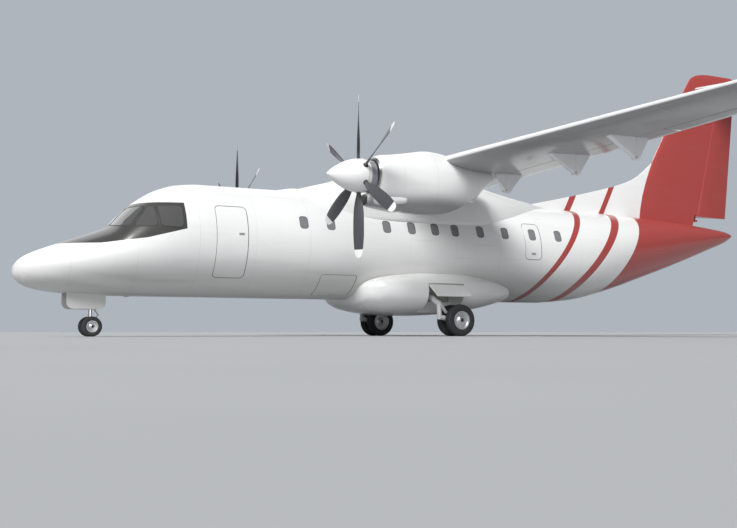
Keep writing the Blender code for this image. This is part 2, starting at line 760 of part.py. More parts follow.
# Two ends of the exhaust stub: distance outboard of the nacelle's axis, station, height
EXHAUST_STUB = ((0.24, 0.26, -0.62), (0.38, 1.14, -0.57))
EXHAUST_RADIUS = 0.10


def build_nacelle(side, mark):
    centre = side * NACELLE_X
    rings = [oval(row[0], centre, *row[1:], 28) for row in NACELLE_FORM]
    cowl = loft(f"nacelle_{mark}", rings, WHITE)
    chin = [(0.13, -0.45), (0.32, -0.69), (0.50, -0.79), (1.10, -0.84), (1.30, -0.60), (0.50, -0.42)]
    rings = []
    for x in (-0.26, -0.20, 0.20, 0.26):
        inner = 0.05 if abs(x) > 0.2 else 0.0
        rings.append([at(centre + x, s + inner, z + inner * (1 if z < -0.6 else -1)) for s, z in chin])
    fuse(cowl, loft(f"chin_{mark}", rings, WHITE))
    stub = [at(centre + side * x, s, z) for x, s, z in EXHAUST_STUB]
    along = stub[1] - stub[0]
    profile = ((0, 0), (0, 1), (0.7, 1), (0.94, 0.6), (1, 0))
    outline = [(u * along.length, r * EXHAUST_RADIUS) for u, r in profile]
    fuse(cowl, turned(f"exhaust_{mark}", outline, stub[0], along, 14, STEEL))
    duct = [(0.05, -0.50), (0.24, -0.74), (0.70, -0.68), (0.70, -0.50)]
    rings = [[at(centre + x, s, z) for s, z in duct] for x in (-0.19, 0.19)]
    cut(cowl, loft(f"cutter_intake_{mark}", rings, GREY))
    hollow = [at(centre, s, 0) for s in (0.20, ENGINE_REAR + TOUCH)]
    cut(cowl, rod(f"cutter_cowl_{mark}", *hollow, CAVITY_RADIUS, 28, GREY))
    cut(cowl, wing_box(f"core_in_nacelle_{mark}", CENTRE_SPANS, TOUCH * 1.5))

    low = (centre - 0.24, ENGINE_FRONT, -0.26)
    high = (centre + 0.24, ENGINE_REAR, 0.26)
    box(f"engine_{mark}", low, high, IRON)


BLADE_FORM = (
    # radius, chord, thickness, twist in degrees from the plane of rotation
    (0.30, 0.10, 0.090, 60.0),
    (0.55, 0.16, 0.060, 52.0),
    (0.95, 0.27, 0.036, 41.0),
    (1.45, 0.30, 0.024, 31.0),
    (1.82, 0.25, 0.015, 26.0),
    (PROPELLER_RADIUS, 0.12, 0.009, 24.0),
)


def blade_points(hub, angle, spin):
    """Rings of one blade, each a six-sided lens."""
    out = Vector((math.sin(angle), 0, math.cos(angle)))
    across = Vector((math.cos(angle), 0, -math.sin(angle))) * spin
    forward = Vector((0, -1, 0))
    rings = []
    for radius, chord, thickness, twist in BLADE_FORM:
        turn = math.radians(twist)
        along = across * math.cos(turn) + forward * math.sin(turn)
        over = forward * math.cos(turn) - across * math.sin(turn)
        lens = ((-0.5, 0), (-0.2, 0.5), (0.2, 0.45), (0.5, 0), (0.2, -0.3), (-0.2, -0.3))
        rings.append([hub + out * radius + along * chord * a + over * thickness * b for a, b in lens])
    return rings


def build_propeller(side, mark):
    hub = at(side * NACELLE_X, 0, 0)
    profile = [(SPINNER_TIP, 0.0)]
    for u in (0.10, 0.28, 0.50, 0.75, 1.0):
        radius = SPINNER_RADIUS * math.sin(u * math.pi / 2) ** 0.8
        profile.append((SPINNER_TIP + u * (0.05 - SPINNER_TIP), radius))
    profile += [(0.10, SPINNER_RADIUS - 0.02), (HUB_REAR, SPINNER_RADIUS - 0.03), (HUB_REAR, 0.09)]
    profile += [(ENGINE_FRONT - PIN_GAP, 0.09), (ENGINE_FRONT - PIN_GAP, 0.0)]
    propeller = turned(f"propeller_{mark}", profile, hub, (0, 1, 0), 28, WHITE)
    for number in range(BLADES):
        rings = blade_points(hub, 2 * math.pi * number / BLADES, 1)
        fuse(propeller, loft(f"blade_{mark}{number}", rings, BLADE))
    hinge_on(propeller, hub)


# Tail


def upright_section(height, front, rear, half, parts):
    """A thin upright section with a rounded front, as points from the rear round the front."""
    points = []
    for u in reversed(parts):
        points.append(at(half * fin_width(u), front + (rear - front) * u, height))
    for u in parts[1:]:
        points.append(at(-half * fin_width(u), front + (rear - front) * u, height))
    return points


def fin_width(u):
    """Half width of a fin section in parts of its greatest, over a front part that ends at the hinge."""
    return min(1.0, 1.75 * math.sqrt(u) - 0.78 * u) if u > 0 else 0.0


FIN_PARTS = (0.0, 0.03, 0.12, 0.30, 0.60, 1.0)


def rudder_axis_at(height):
    run = (RUDDER_HEAD[0] - RUDDER_FOOT[0]) / (RUDDER_HEAD[1] - RUDDER_FOOT[1])
    return RUDDER_FOOT[0] + run * (height - RUDDER_FOOT[1])


def fin_front_at(height):
    return FIN_FOOT + FIN_SWEEP * height


def fin_half_at(height):
    return 0.185 - 0.022 * height


def fin_ring(height, grow=0.0):
    rear = rudder_axis_at(height) - fin_half_at(height) - 0.02
    front = fin_front_at(height) - grow
    return upright_section(height, front, rear + grow, fin_half_at(height) + grow, FIN_PARTS)


def build_fin():
    heights = (-0.60, FIN_SPLIT - TOUCH)
    fin = loft("fin", [fin_ring(h) for h in heights], RED)
    cut(fin, body_core("core_under_fin", 7.0, TAIL_FORM[-1][0]))
    cut(fin, stabiliser_solid("core_in_fin", TOUCH * 1.5), solver="MANIFOLD")
    shelf_front, shelf_rear = RUDDER_FOOT[0] - 0.50, RUDDER_FOOT[0] + 0.06
    low, high = (-0.06, shelf_front, RUDDER_SHELF - 0.07), (0.06, shelf_rear, RUDDER_SHELF)
    fuse(fin, box("rudder_shelf", low, high, RED))

    cap_rings = []
    for height, front, rear, half in (
        (FIN_SPLIT, fin_front_at(FIN_SPLIT), 17.30, 0.11),
        (FIN_TOP, fin_front_at(FIN_TOP) + 0.05, 17.38, 0.09),
        (5.12, 15.55, 17.30, 0.06),
        (5.20, 15.95, 17.10, 0.02),
    ):
        cap_rings.append(upright_section(height, front, rear, half, (*FIN_PARTS[:-1], 0.85, 1.0)))
    cap = loft("fin_cap", cap_rings, RED)
    cut(cap, stabiliser_solid("core_in_cap", TOUCH * 1.5), solver="MANIFOLD")
    ends = [at(way * ELEVATOR_BOSS, ELEVATOR_HINGE, STAB_HEIGHT) for way in (-1, 1)]
    fuse(cap, rod("elevator_boss", *ends, 0.028, 12, STEEL))

    dorsal = (
        # station, height of the top
        (8.30, 0.20),
        (9.42, 0.44),
        (10.81, 0.76),
        (11.90, 1.05),
        (12.50, 1.28),
        (12.90, 1.54),
    )
    rings = []
    for station, top in dorsal:
        half = 0.03 + 0.10 * min(1.0, (station - 8.3) / 3.5)
        rings.append([at(x, station, z) for x, z in ((-half, -0.5), (half, -0.5), (0.02, top), (-0.02, top))])
    rings.append([at(x, 13.6, z) for x, z in ((-0.12, -0.5), (0.12, -0.5), (0.02, 1.95), (-0.02, 1.95))])
    fillet = loft("dorsal_fin", rings, WHITE)
    cut(fillet, body_core("core_under_dorsal", 7.0, TAIL_FORM[-1][0]))
    cut(fillet, loft("core_of_fin", [fin_ring(h, TOUCH * 2) for h in heights], GREY))
    wing_end = [
        oval(station, 0.0, top + TOUCH, -0.90, half + TOUCH, -0.62, 28, square=3.2)
        for station, half, top in WING_FAIRING[-3:]
    ]
    cut(fillet, loft("core_of_fairing", wing_end, GREY))


def build_rudder():
    foot, head = at(0, *RUDDER_FOOT), at(0, *RUDDER_HEAD)
    axis = (head - foot).normalized()
    rings = []
    for height, rear in ((RUDDER_FOOT[1], RUDDER_TE_FOOT), (RUDDER_HEAD[1], RUDDER_TE_HEAD)):
        station, half = rudder_axis_at(height), fin_half_at(height)
        points = []
        for k in range(5):
            turn = math.pi * k / 4
            points.append(at(half * math.cos(turn), station - half * math.sin(turn), height))
        points += [at(-0.012, rear, height), at(0.012, rear, height)]
        rings.append(points)
    rudder = loft("rudder", rings, RED)
    lean = math.atan2(axis.y, axis.z)
    drop = (RUDDER_FOOT[1] - RUDDER_SHELF) / axis.z - pin_reach(lean, 0.03)
    fuse(rudder, rod("pin_rudder", foot + axis * 0.1, foot - axis * drop, 0.03, 12, STEEL))
    hinge_on(rudder, foot)


def stabiliser_lift(u, sign):
    return sign * half_thickness(u, 0.11)


def stabiliser_ring(x, rear, grow=0.0):
    front = STAB_ROOT_LE + (STAB_TIP_LE - STAB_ROOT_LE) * abs(x) / STAB_SEMI_SPAN
    chord = STAB_TE - front
    last = (rear - front) / chord
    parts = [last * share for share in (0.0, 0.02, 0.08, 0.24, 0.55, 1.0)]
    ring = []
    for sign, order in ((1, parts), (-1, parts[:0:-1])):
        for u in order:
            slack = grow * (sign if u > 0 else 0)
            back = grow if u == last else (-grow if u == 0 else 0)
            height = STAB_HEIGHT + stabiliser_lift(u, sign) * chord + slack
            ring.append(at(x, front + chord * u + back, height))
    return ring


def stabiliser_solid(name, grow=0.0):
    rear = ELEVATOR_HINGE - 0.09
    spans = (-STAB_SEMI_SPAN, 0.0, STAB_SEMI_SPAN)
    return loft(name, [stabiliser_ring(x, rear, grow) for x in spans], WHITE)


def build_stabiliser():
    stabiliser_solid("stabiliser")
    for side, mark in ((1, "L"), (-1, "R")):
        rings = []
        for x in (ELEVATOR_ROOT, STAB_SEMI_SPAN):
            share = x / STAB_SEMI_SPAN
            chord = STAB_TE - (STAB_ROOT_LE + (STAB_TIP_LE - STAB_ROOT_LE) * share)
            part = 1 - (STAB_TE - ELEVATOR_HINGE) / chord
            radius = half_thickness(part, 0.11) * chord
            centre = at(side * x, ELEVATOR_HINGE, STAB_HEIGHT)
            nose = round_nose(centre, radius, Vector((0, 1, 0)), Vector((0, 0, 1)))
            rear = [at(side * x, STAB_TE, STAB_HEIGHT + z) for z in (-0.006, 0.006)]
            rings.append(nose + rear)
        surface = loft(f"elevator_{mark}", rings, WHITE)
        inner = at(side * (ELEVATOR_BOSS + PIN_GAP), ELEVATOR_HINGE, STAB_HEIGHT)
        outer = at(side * (ELEVATOR_ROOT + 0.05), ELEVATOR_HINGE, STAB_HEIGHT)
        fuse(surface, rod(f"pin_elevator_{mark}", inner, outer, 0.02, 12, STEEL))
        hinge_on(surface, at(0, ELEVATOR_HINGE, STAB_HEIGHT))


# Landing gear


def tyre_profile(offset, radius, width, rim):
    half = width / 2
    return [
        (offset - half * 0.80, rim),
        (offset - half, rim + (radius - rim) * 0.42),
        (offset - half * 0.88, rim + (radius - rim) * 0.80),
        (offset - half * 0.45, radius),
        (offset + half * 0.45, radius),
        (offset + half * 0.88, rim + (radius - rim) * 0.80),
        (offset + half, rim + (radius - rim) * 0.42),
        (offset + half * 0.80, rim),
    ]


def hub_profile(offset, width, rim, axle):
    """One turned piece: a rim on each side of a common axle."""
    half = width / 2 * 0.92
    right = [
        (offset - half, axle),
        (offset - half, rim - 0.03),
        (offset - half * 0.9, rim - TOUCH),
        (offset + half * 0.9, rim - TOUCH),
        (offset + half, rim - 0.03),
        (offset + half * 0.55, rim * 0.72),
        (offset + half * 0.55, axle * 1.5),
        (offset + half * 1.05, axle * 1.3),
        (offset + half * 1.05, 0.0),
    ]
    return [(-a, r) for a, r in reversed(right)] + right


def wheel_pair(name, centre, offset, radius, width, axle, marks):
    rim = radius * 0.56
    profile = hub_profile(offset, width, rim, axle)
    hub = turned(f"{name}_hub", profile, centre, (1, 0, 0), WHEEL_SIDES, ALLOY, flat=True)
    hinge_on(hub, centre)
    for way, mark in ((1, marks[0]), (-1, marks[1])):
        profile = tyre_profile(way * offset, radius, width, rim)
        tyre = turned(f"{name}_tyre_{mark}", profile, centre, (1, 0, 0), WHEEL_SIDES, RUBBER, flat=True)
        hinge_on(tyre, centre)


def bore_radius(axle):
    """Corner radius of a bore in which an axle turns free, measured to the axle's corners."""
    return (axle / math.cos(math.pi / WHEEL_SIDES) + AXLE_FREE) / math.cos(math.pi / WHEEL_SIDES)


def bearing(centre, half_length, radius, axle, name):
    """A short tube round an axle."""
    bore = bore_radius(axle)
    profile = [(-half_length, radius), (half_length, radius), (half_length, bore), (-half_length, bore)]
    return turned(name, profile, centre, (1, 0, 0), WHEEL_SIDES, STEEL)


def build_nose_gear():
    axle_height = NOSE_WHEEL_RADIUS - PROPELLER_Z
    centre = at(0, NOSE_LEG_STATION, axle_height)
    top = at(0, NOSE_LEG_STATION, NOSE_BAY_ROOF - TOUCH)
    neck = at(0, NOSE_LEG_STATION, STEERING_HEAD + TOUCH)
    leg = rod("nose_gear_leg", top, neck, 0.065, 16, STEEL)
    brace_foot = at(0, NOSE_LEG_STATION, -2.95)
    brace_head = at(0, NOSE_BAY[0] + 0.06, NOSE_BAY_ROOF - 0.05)
    fuse(leg, rod("nose_drag_brace", brace_foot, brace_head, 0.035, 10, STEEL))

    axle = 0.028
    head = at(0, NOSE_LEG_STATION, STEERING_HEAD)
    fork = rod("nose_gear_fork", head, centre + Vector((0, 0, 0.04)), 0.05, 16, STEEL)
    fuse(fork, rod("collar", head - Vector((0, 0, 0.10)), head, 0.085, 16, STEEL))
    fuse(fork, bearing(centre, NOSE_WHEEL_OFFSET - NOSE_TYRE_WIDTH / 2 - 0.015, 0.055, axle, "nose_bearing"))
    bore = [centre - Vector((0.2, 0, 0)), centre + Vector((0.2, 0, 0))]
    cut(fork, rod("cutter_nose_axle", *bore, bore_radius(axle), WHEEL_SIDES, STEEL))
    hinge_on(fork, at(0, NOSE_LEG_STATION, STEERING_HEAD))
    wheel_pair("nose_wheel", centre, NOSE_WHEEL_OFFSET, NOSE_WHEEL_RADIUS, NOSE_TYRE_WIDTH, axle, ("L", "R"))

    for side, mark in ((1, "L"), (-1, "R")):
        inner, outer = NOSE_BAY_HALF - 0.025, NOSE_BAY_HALF - TOUCH
        outline = [(inner, -2.72), (outer, -2.72), (outer, -2.90)]
        outline += [(outer + 0.03, -3.22), (inner + 0.03, -3.22), (inner, -2.90)]
        outline = [(side * x, z) for x, z in outline]
        prism(f"nose_gear_door_{mark}", outline, NOSE_BAY[0] + 0.02, NOSE_BAY[1] - 0.02, WHITE)


def build_main_gear(side, mark):
    axle_height = MAIN_WHEEL_RADIUS - PROPELLER_Z
    x = side * MAIN_WHEEL_X
    centre = at(x, MAIN_WHEEL_STATION, axle_height)
    knee = at(x, MAIN_LEG_STATION, -3.38)
    shoulder = at(side * 1.52, MAIN_LEG_STATION, -2.72)
    elbow = at(side * 2.17, MAIN_LEG_STATION, -3.02)
    leg = rod(f"main_gear_leg_{mark}", shoulder, elbow + (elbow - shoulder) * 0.05, 0.085, 16, STEEL)
    lap = Vector((0, 0, 0.05))
    fuse(leg, rod(f"main_gear_post_{mark}", elbow + lap, knee - lap, 0.07, 16, STEEL))
    inner, outer = sorted((side * (MAIN_BAY_INNER + TOUCH), side * 1.62))
    low, high = (inner, MAIN_LEG_STATION - 0.12, -2.84), (outer, MAIN_LEG_STATION + 0.12, -2.60)
    trunnion = box(f"trunnion_{mark}", low, high, STEEL)
    fuse(leg, trunnion)
    fuse(leg, rod(f"arm_{mark}", knee - Vector((0, 0.04, 0)), centre, 0.062, 14, STEEL))
    axle = 0.042
    half_length = MAIN_WHEEL_OFFSET - MAIN_TYRE_WIDTH / 2 - 0.02
    fuse(leg, bearing(centre, half_length, 0.075, axle, f"main_bearing_{mark}"))
    bore = [centre - Vector((0.3, 0, 0)), centre + Vector((0.3, 0, 0))]
    cut(leg, rod(f"cutter_main_axle_{mark}", *bore, bore_radius(axle), WHEEL_SIDES, STEEL))
    damper = (at(x, MAIN_WHEEL_STATION - 0.16, axle_height + 0.02), elbow + Vector((0, 0.03, -0.02)))
    fuse(leg, rod(f"damper_{mark}", *damper, 0.036, 12, STEEL))
    name = "main_wheel_" + mark
    marks = ("outer", "inner") if side > 0 else ("inner", "outer")
    wheel_pair(name, centre, MAIN_WHEEL_OFFSET, MAIN_WHEEL_RADIUS, MAIN_TYRE_WIDTH, axle, marks)

    skin = 1.99
    roof = MAIN_BAY_ROOF - TOUCH
    outline = [(skin - 0.05, roof), (skin - 0.02, roof), (skin + 0.21, -2.62), (skin + 0.46, -2.80)]
    outline += [(skin + 0.44, -2.83), (skin + 0.18, -2.65)]
    outline = [(side * a, b) for a, b in outline]
    prism(f"main_gear_door_{mark}", outline, MAIN_BAY[0] + 0.02, MAIN_BAY[1] - 0.02, WHITE)


build_fuselage()
build_doors()
build_gear_fairing()
build_wing()
build_wing_fairing()
for way, letter in ((1, "L"), (-1, "R")):
    build_nacelle(way, letter)
    build_propeller(way, letter)
    build_main_gear(way, letter)
build_fin()
build_rudder()
build_stabiliser()
build_nose_gear()
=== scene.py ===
# %% [markdown]
# A regional airliner with a high wing, two propeller engines and a cross-shaped tail, parked on its
# landing gear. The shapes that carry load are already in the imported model, so this script keeps their
# places and gives each of them a smoother skin, real openings, finer parts and a painted finish.

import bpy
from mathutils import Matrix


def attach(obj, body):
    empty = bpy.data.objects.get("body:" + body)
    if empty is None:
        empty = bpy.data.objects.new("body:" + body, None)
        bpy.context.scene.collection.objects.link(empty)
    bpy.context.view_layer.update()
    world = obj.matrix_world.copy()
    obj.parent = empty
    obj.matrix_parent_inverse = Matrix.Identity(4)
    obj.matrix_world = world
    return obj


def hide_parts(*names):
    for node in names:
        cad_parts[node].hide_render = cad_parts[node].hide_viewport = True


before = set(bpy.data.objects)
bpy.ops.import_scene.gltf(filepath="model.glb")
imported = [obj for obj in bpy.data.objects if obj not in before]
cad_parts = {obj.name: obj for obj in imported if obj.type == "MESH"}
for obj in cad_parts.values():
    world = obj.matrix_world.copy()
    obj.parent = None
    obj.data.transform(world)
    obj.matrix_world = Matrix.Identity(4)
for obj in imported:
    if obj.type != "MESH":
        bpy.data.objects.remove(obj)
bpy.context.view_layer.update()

# %% More of Blender
import math

import bmesh
import bpy
from mathutils import Matrix, Vector

# %% [markdown]
# Lengths along the aircraft are stations, measured aft of the propeller plane, and heights are measured
# up from the propeller axis. One function turns both into the frame, so every table below reads like
# a drawing of the aircraft in side view.

# %% Stations and heights
ORIGIN_STATION = 5.2376  # where the frame's origin lies
AXIS_HEIGHT = 3.90  # of the propeller axis above the ground
NACELLE_X, STAB_HEIGHT = 3.94, 4.614  # of the propeller axis, and of the stabiliser
WING_LE, WING_TE = (2.127, 0.0392), (5.578, -0.1146)  # a station at the root, and its change with the span
ROOT_HEIGHT, ROOT_DROP, DIHEDRAL, CAMBER = 0.456, -0.157, 0.0167, 0.08


def at(x, station, height):
    return Vector((x, station - ORIGIN_STATION, height + AXIS_HEIGHT))


def smooth(places, values, place):
    """Reads values at a place along a smooth curve that never overshoots them."""
    if place <= places[0]:
        return values[0]
    if place >= places[-1]:
        return values[-1]
    slopes = [(values[i + 1] - values[i]) / (places[i + 1] - places[i]) for i in range(len(places) - 1)]

    def tangent(i):
        if i in (0, len(places) - 1):
            return slopes[min(i, len(slopes) - 1)]
        before, after = slopes[i - 1], slopes[i]
        return 0.0 if before * after <= 0 else 2 * before * after / (before + after)

    i = max(k for k in range(len(places) - 1) if places[k] <= place)
    gap = places[i + 1] - places[i]
    u = (place - places[i]) / gap
    ends = values[i] * (1 + 2 * u) * (1 - u) ** 2 + values[i + 1] * u * u * (3 - 2 * u)
    return ends + gap * (tangent(i) * u * (1 - u) ** 2 + tangent(i + 1) * u * u * (u - 1))


def form_at(table, place):
    """All the columns after the first one of a table, read at a place in its first column."""
    places, *columns = zip(*table)
    return [smooth(places, values, place) for values in columns]


def steps(first, last, count):
    """Evenly spaced values with both ends."""
    return [first + (last - first) * k / count for k in range(count + 1)]


print("nose tip at", at(0, -7.345, -2.32))

# %% [markdown]
# A shape here is a pair of lists, points and faces. Most pieces of an aircraft are lofts, rings of equal
# length joined one to the next, or turned shapes, so a handful of small functions makes them all.

# %% Shapes
def loft(rings, joined=False):
    """Joins rings of equal length one to the next, and closes both ends or joins the last to the first."""
    count, rows = len(rings[0]), len(rings)
    faces = [] if joined else [list(range(count)), list(range((rows - 1) * count, rows * count))]
    for row in range(rows if joined else rows - 1):
        after = (row + 1) % rows
        for i in range(count):
            j = (i + 1) % count
            faces.append([row * count + i, row * count + j, after * count + j, after * count + i])
    return [p for ring in rings for p in ring], faces


def circle(centre, start, other, radius, sides):
    turns = [2 * math.pi * k / sides for k in range(sides)]
    return [centre + radius * (start * math.cos(t) + other * math.sin(t)) for t in turns]


def turned(profile, centre, axis, sides=48, joined=False):
    """Turns (distance along the axis, radius) pairs about an axis. A radius of 0 makes a pole. A joined
    profile is a closed one, such as that of a tyre or a bead."""
    axis = Vector(axis).normalized()
    start = axis.orthogonal().normalized()
    other = axis.cross(start)
    return loft([circle(centre + axis * a, start, other, r, sides) for a, r in profile], joined)


def bar(path, radius, sides):
    """A round bar through points. The radius is one number or one for each point."""
    radii = radius if isinstance(radius, (list, tuple)) else [radius] * len(path)
    start = (path[1] - path[0]).orthogonal().normalized()
    rings = []
    for i, point in enumerate(path):
        along = (path[min(i + 1, len(path) - 1)] - path[max(i - 1, 0)]).normalized()
        start = (start - along * start.dot(along)).normalized()
        rings.append(circle(point, start, along.cross(start), radii[i], sides))
    return loft(rings)


def crossbar(middle, half, radius, sides):
    """A round bar across the aircraft, given by its middle and half its length."""
    reach = Vector((half, 0, 0))
    return bar([middle - reach, middle + reach], radius, sides)


def slab(outline, shift):
    """A flat outline of points, drawn out by a vector."""
    return loft([outline, [p + shift for p in outline]])


def block(low, high, soft=0.0):
    """A box between two corners given as (x, station, height), with its upright edges cut back."""
    (x0, s0, z0), (x1, s1, z1) = low, high
    ring = [(x0 + soft, s0), (x1 - soft, s0), (x1, s0 + soft), (x1, s1 - soft)]
    ring += [(x1 - soft, s1), (x0 + soft, s1), (x0, s1 - soft), (x0, s0 + soft)]
    return loft([[at(x, s, z) for x, s in ring] for z in (z0, z1)])


def rounded(half, reach, corner, arc, across, up):
    """Pairs round a rectangle with round corners. Its straight sides have further points, given as parts
    of the way from the middle of a side to a corner."""
    pairs = []
    for quarter, (sx, sy) in enumerate(((1, 1), (-1, 1), (-1, -1), (1, -1))):
        middle = sx * (half - corner), sy * (reach - corner)
        for k in range(arc + 1):
            turn = math.pi / 2 * (quarter + k / arc)
            pairs.append((middle[0] + corner * math.cos(turn), middle[1] + corner * math.sin(turn)))
        way = 1 if quarter < 2 else -1
        if quarter in (0, 2):
            pairs += [(way * f * (half - corner), sy * reach) for f in across]
        else:
            pairs += [(sx * half, way * f * (reach - corner)) for f in up]
    return pairs


def gather(*shapes):
    """Several closed shapes as one."""
    points, faces = [], []
    for some_points, some_faces in shapes:
        faces += [[i + len(points) for i in face] for face in some_faces]
        points += some_points
    return points, faces


def mirrored(shape):
    points, faces = shape
    return [Vector((-p.x, p.y, p.z)) for p in points], faces


print("a turned shape has", len(turned([(0, 0), (0, 1), (1, 1), (1, 0)], Vector(), (1, 0, 0))[1]), "faces")

# %% [markdown]
# A closed mesh needs merged poles and faces that point outwards. Cuts are Booleans with the exact
# solver, made on two throwaway objects whose result is read back as points and faces.

# %% Meshes and cuts
def as_mesh(name, shape):
    mesh = bpy.data.meshes.new(name)
    mesh.from_pydata([tuple(p) for p in shape[0]], [], shape[1])
    form = bmesh.new()
    form.from_mesh(mesh)
    bmesh.ops.remove_doubles(form, verts=form.verts, dist=1e-6)
    bmesh.ops.dissolve_degenerate(form, edges=form.edges, dist=1e-7)
    bmesh.ops.recalc_face_normals(form, faces=form.faces)
    form.to_mesh(mesh)
    form.free()
    return mesh


def as_object(name, shape):
    made = bpy.data.objects.new(name, as_mesh(name, shape))
    bpy.context.scene.collection.objects.link(made)
    return made


def evaluated(source):
    """The mesh of an object with its modifiers, as a new mesh of its own."""
    bpy.context.view_layer.update()
    graph = bpy.context.evaluated_depsgraph_get()
    return bpy.data.meshes.new_from_object(source.evaluated_get(graph))


def carve(shape, tool, operation="DIFFERENCE"):
    """Cuts a tool out of a shape, or joins them, and gives points and faces again."""
    body, knife = as_object("blank", shape), as_object("knife", tool)
    change = body.modifiers.new("carve", "BOOLEAN")
    change.operation = operation
    change.object = knife
    mesh = evaluated(body)
    result = [v.co.copy() for v in mesh.vertices], [list(face.vertices) for face in mesh.polygons]
    for thing in (body, knife):
        bpy.data.objects.remove(thing)
    return result


def dress(made, finish, body, stands_for=(), sharp=32):
    """Gives an object its finish and its body, and hides the solids it stands for."""
    made.data.materials.clear()
    made.data.materials.append(finish.material)
    made.data.shade_smooth()
    made.data.set_sharp_from_angle(angle=math.radians(sharp))
    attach(made, body)
    if stands_for:
        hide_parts(*stands_for)
    print(f"{made.name}: {len(made.data.polygons)} faces, rides on {body}")
    return made


def piece(name, shape, finish, body="airframe", stands_for=(), sharp=32):
    return dress(as_object(name, shape), finish, body, stands_for, sharp)


SIDES = ((1, "L"), (-1, "R"))

# %% [markdown]
# Shader maths reads best as plain expressions. A Value wraps a socket of a material's node tree, and its
# operators add Math nodes, so that `1 - mask` or `height > 0.2` can be written as in a formula.

# %% A value in a material
def maths(operation, reflected=False):
    """A method that adds one Math node, with its values the other way round if it is reflected."""
    def method(self, other=0.0):
        first, second = (other, self) if reflected else (self, other)
        return self.finish.node("ShaderNodeMath", {"operation": operation}, {0: first, 1: second})
    return method


class Value:
    def __init__(self, finish, socket):
        self.finish = finish
        self.socket = socket

    __add__, __radd__ = maths("ADD"), maths("ADD", True)
    __sub__, __rsub__ = maths("SUBTRACT"), maths("SUBTRACT", True)
    __mul__, __rmul__ = maths("MULTIPLY"), maths("MULTIPLY", True)
    __truediv__, at_least = maths("DIVIDE"), maths("MAXIMUM")
    __gt__, __lt__ = maths("GREATER_THAN"), maths("LESS_THAN")
    size, fraction, root = maths("ABSOLUTE"), maths("FRACT"), maths("SQRT")

    def soft_step(self, low, high):
        inputs = {"Value": self, "From Min": low, "From Max": high}
        return self.finish.node("ShaderNodeMapRange", {"interpolation_type": "SMOOTHSTEP"}, inputs)


print("values ready")

# %% [markdown]
# A Finish is one material: paint, rubber, bare metal or glass. Each has a base colour that varies a
# little, a roughness that varies with it, and a fine bump, all from the object's own coordinates, so
# that the pattern stays on a piece when the piece moves.

# %% A finish
class Finish:
    def __init__(self, name, colour, roughness, metallic=0.0, coat=0.0):
        self.material = bpy.data.materials.new(name)
        self.material.use_nodes = True
        self.material.diffuse_color = (*colour, 1.0)
        self.tree = self.material.node_tree
        self.shader = self.tree.nodes["Principled BSDF"]
        settings = {"Base Color": (*colour, 1.0), "Roughness": roughness, "Metallic": metallic}
        settings.update({"Coat Weight": coat, "Coat Roughness": 0.06})
        for socket, value in settings.items():
            self.shader.inputs[socket].default_value = value

    def node(self, kind, settings=(), inputs=(), output=0):
        made = self.tree.nodes.new(kind)
        for name, value in dict(settings).items():
            setattr(made, name, value)
        for name, value in dict(inputs).items():
            if isinstance(value, Value):
                self.tree.links.new(value.socket, made.inputs[name])
            else:
                made.inputs[name].default_value = value
        return Value(self, made.outputs[output])

    def plug(self, socket, value):
        self.tree.links.new(value.socket, self.shader.inputs[socket])

    def place(self):
        """The object's own coordinates, as x, y and z values and as one vector."""
        spot = self.node("ShaderNodeTexCoord", output=3)
        axes = self.node("ShaderNodeSeparateXYZ", (), {0: spot})
        others = [Value(self, axes.socket.node.outputs[k]) for k in (1, 2)]
        return axes, *others, spot

    def noise(self, spot, scale, detail, stretch=(1, 1, 1)):
        where = self.node("ShaderNodeMapping", (), {"Vector": spot, "Scale": stretch})
        return self.node("ShaderNodeTexNoise", (), {"Vector": where, "Scale": scale, "Detail": detail})

    def mix(self, factor, a, b):
        a, b = ((*c, 1.0) if isinstance(c, tuple) else c for c in (a, b))
        return self.node("ShaderNodeMix", {"data_type": "RGBA"}, {0: factor, 6: a, 7: b}, 2)

    def bump(self, height, strength, distance):
        inputs = {"Height": height, "Strength": strength, "Distance": distance}
        self.plug("Normal", self.node("ShaderNodeBump", (), inputs))


print("finishes ready")

# %% [markdown]
# Airliner paint is a smooth gloss white with a red tail and two slanted red stripes. Up close it shows
# skin seams, a little grime along them and a faint waviness. The colours are masks on stations and
# heights, because the real stripes are straight lines in side view.

# %% Paint
WHITE, RED = (0.80, 0.80, 0.79), (0.37, 0.058, 0.052)
# The mid grey of the undersides is painted shade.
PALE, UNDERSIDE_SHADE = (0.74, 0.74, 0.74), (0.30, 0.30, 0.30)
# The dirt tone serves for grime streaks and for the darker belly film, which is partly painted shade.
SHADE, GRIME_AND_SHADE_TONE, SEAM = (0.052, 0.050, 0.048), (0.20, 0.19, 0.17), (0.02, 0.02, 0.02)
SEAM_WIDTH = 0.005


def seams(value, pitch):
    """1 on thin lines that come once in each pitch."""
    return (((value / pitch).fraction() - 0.5).size() * pitch) < SEAM_WIDTH / 2


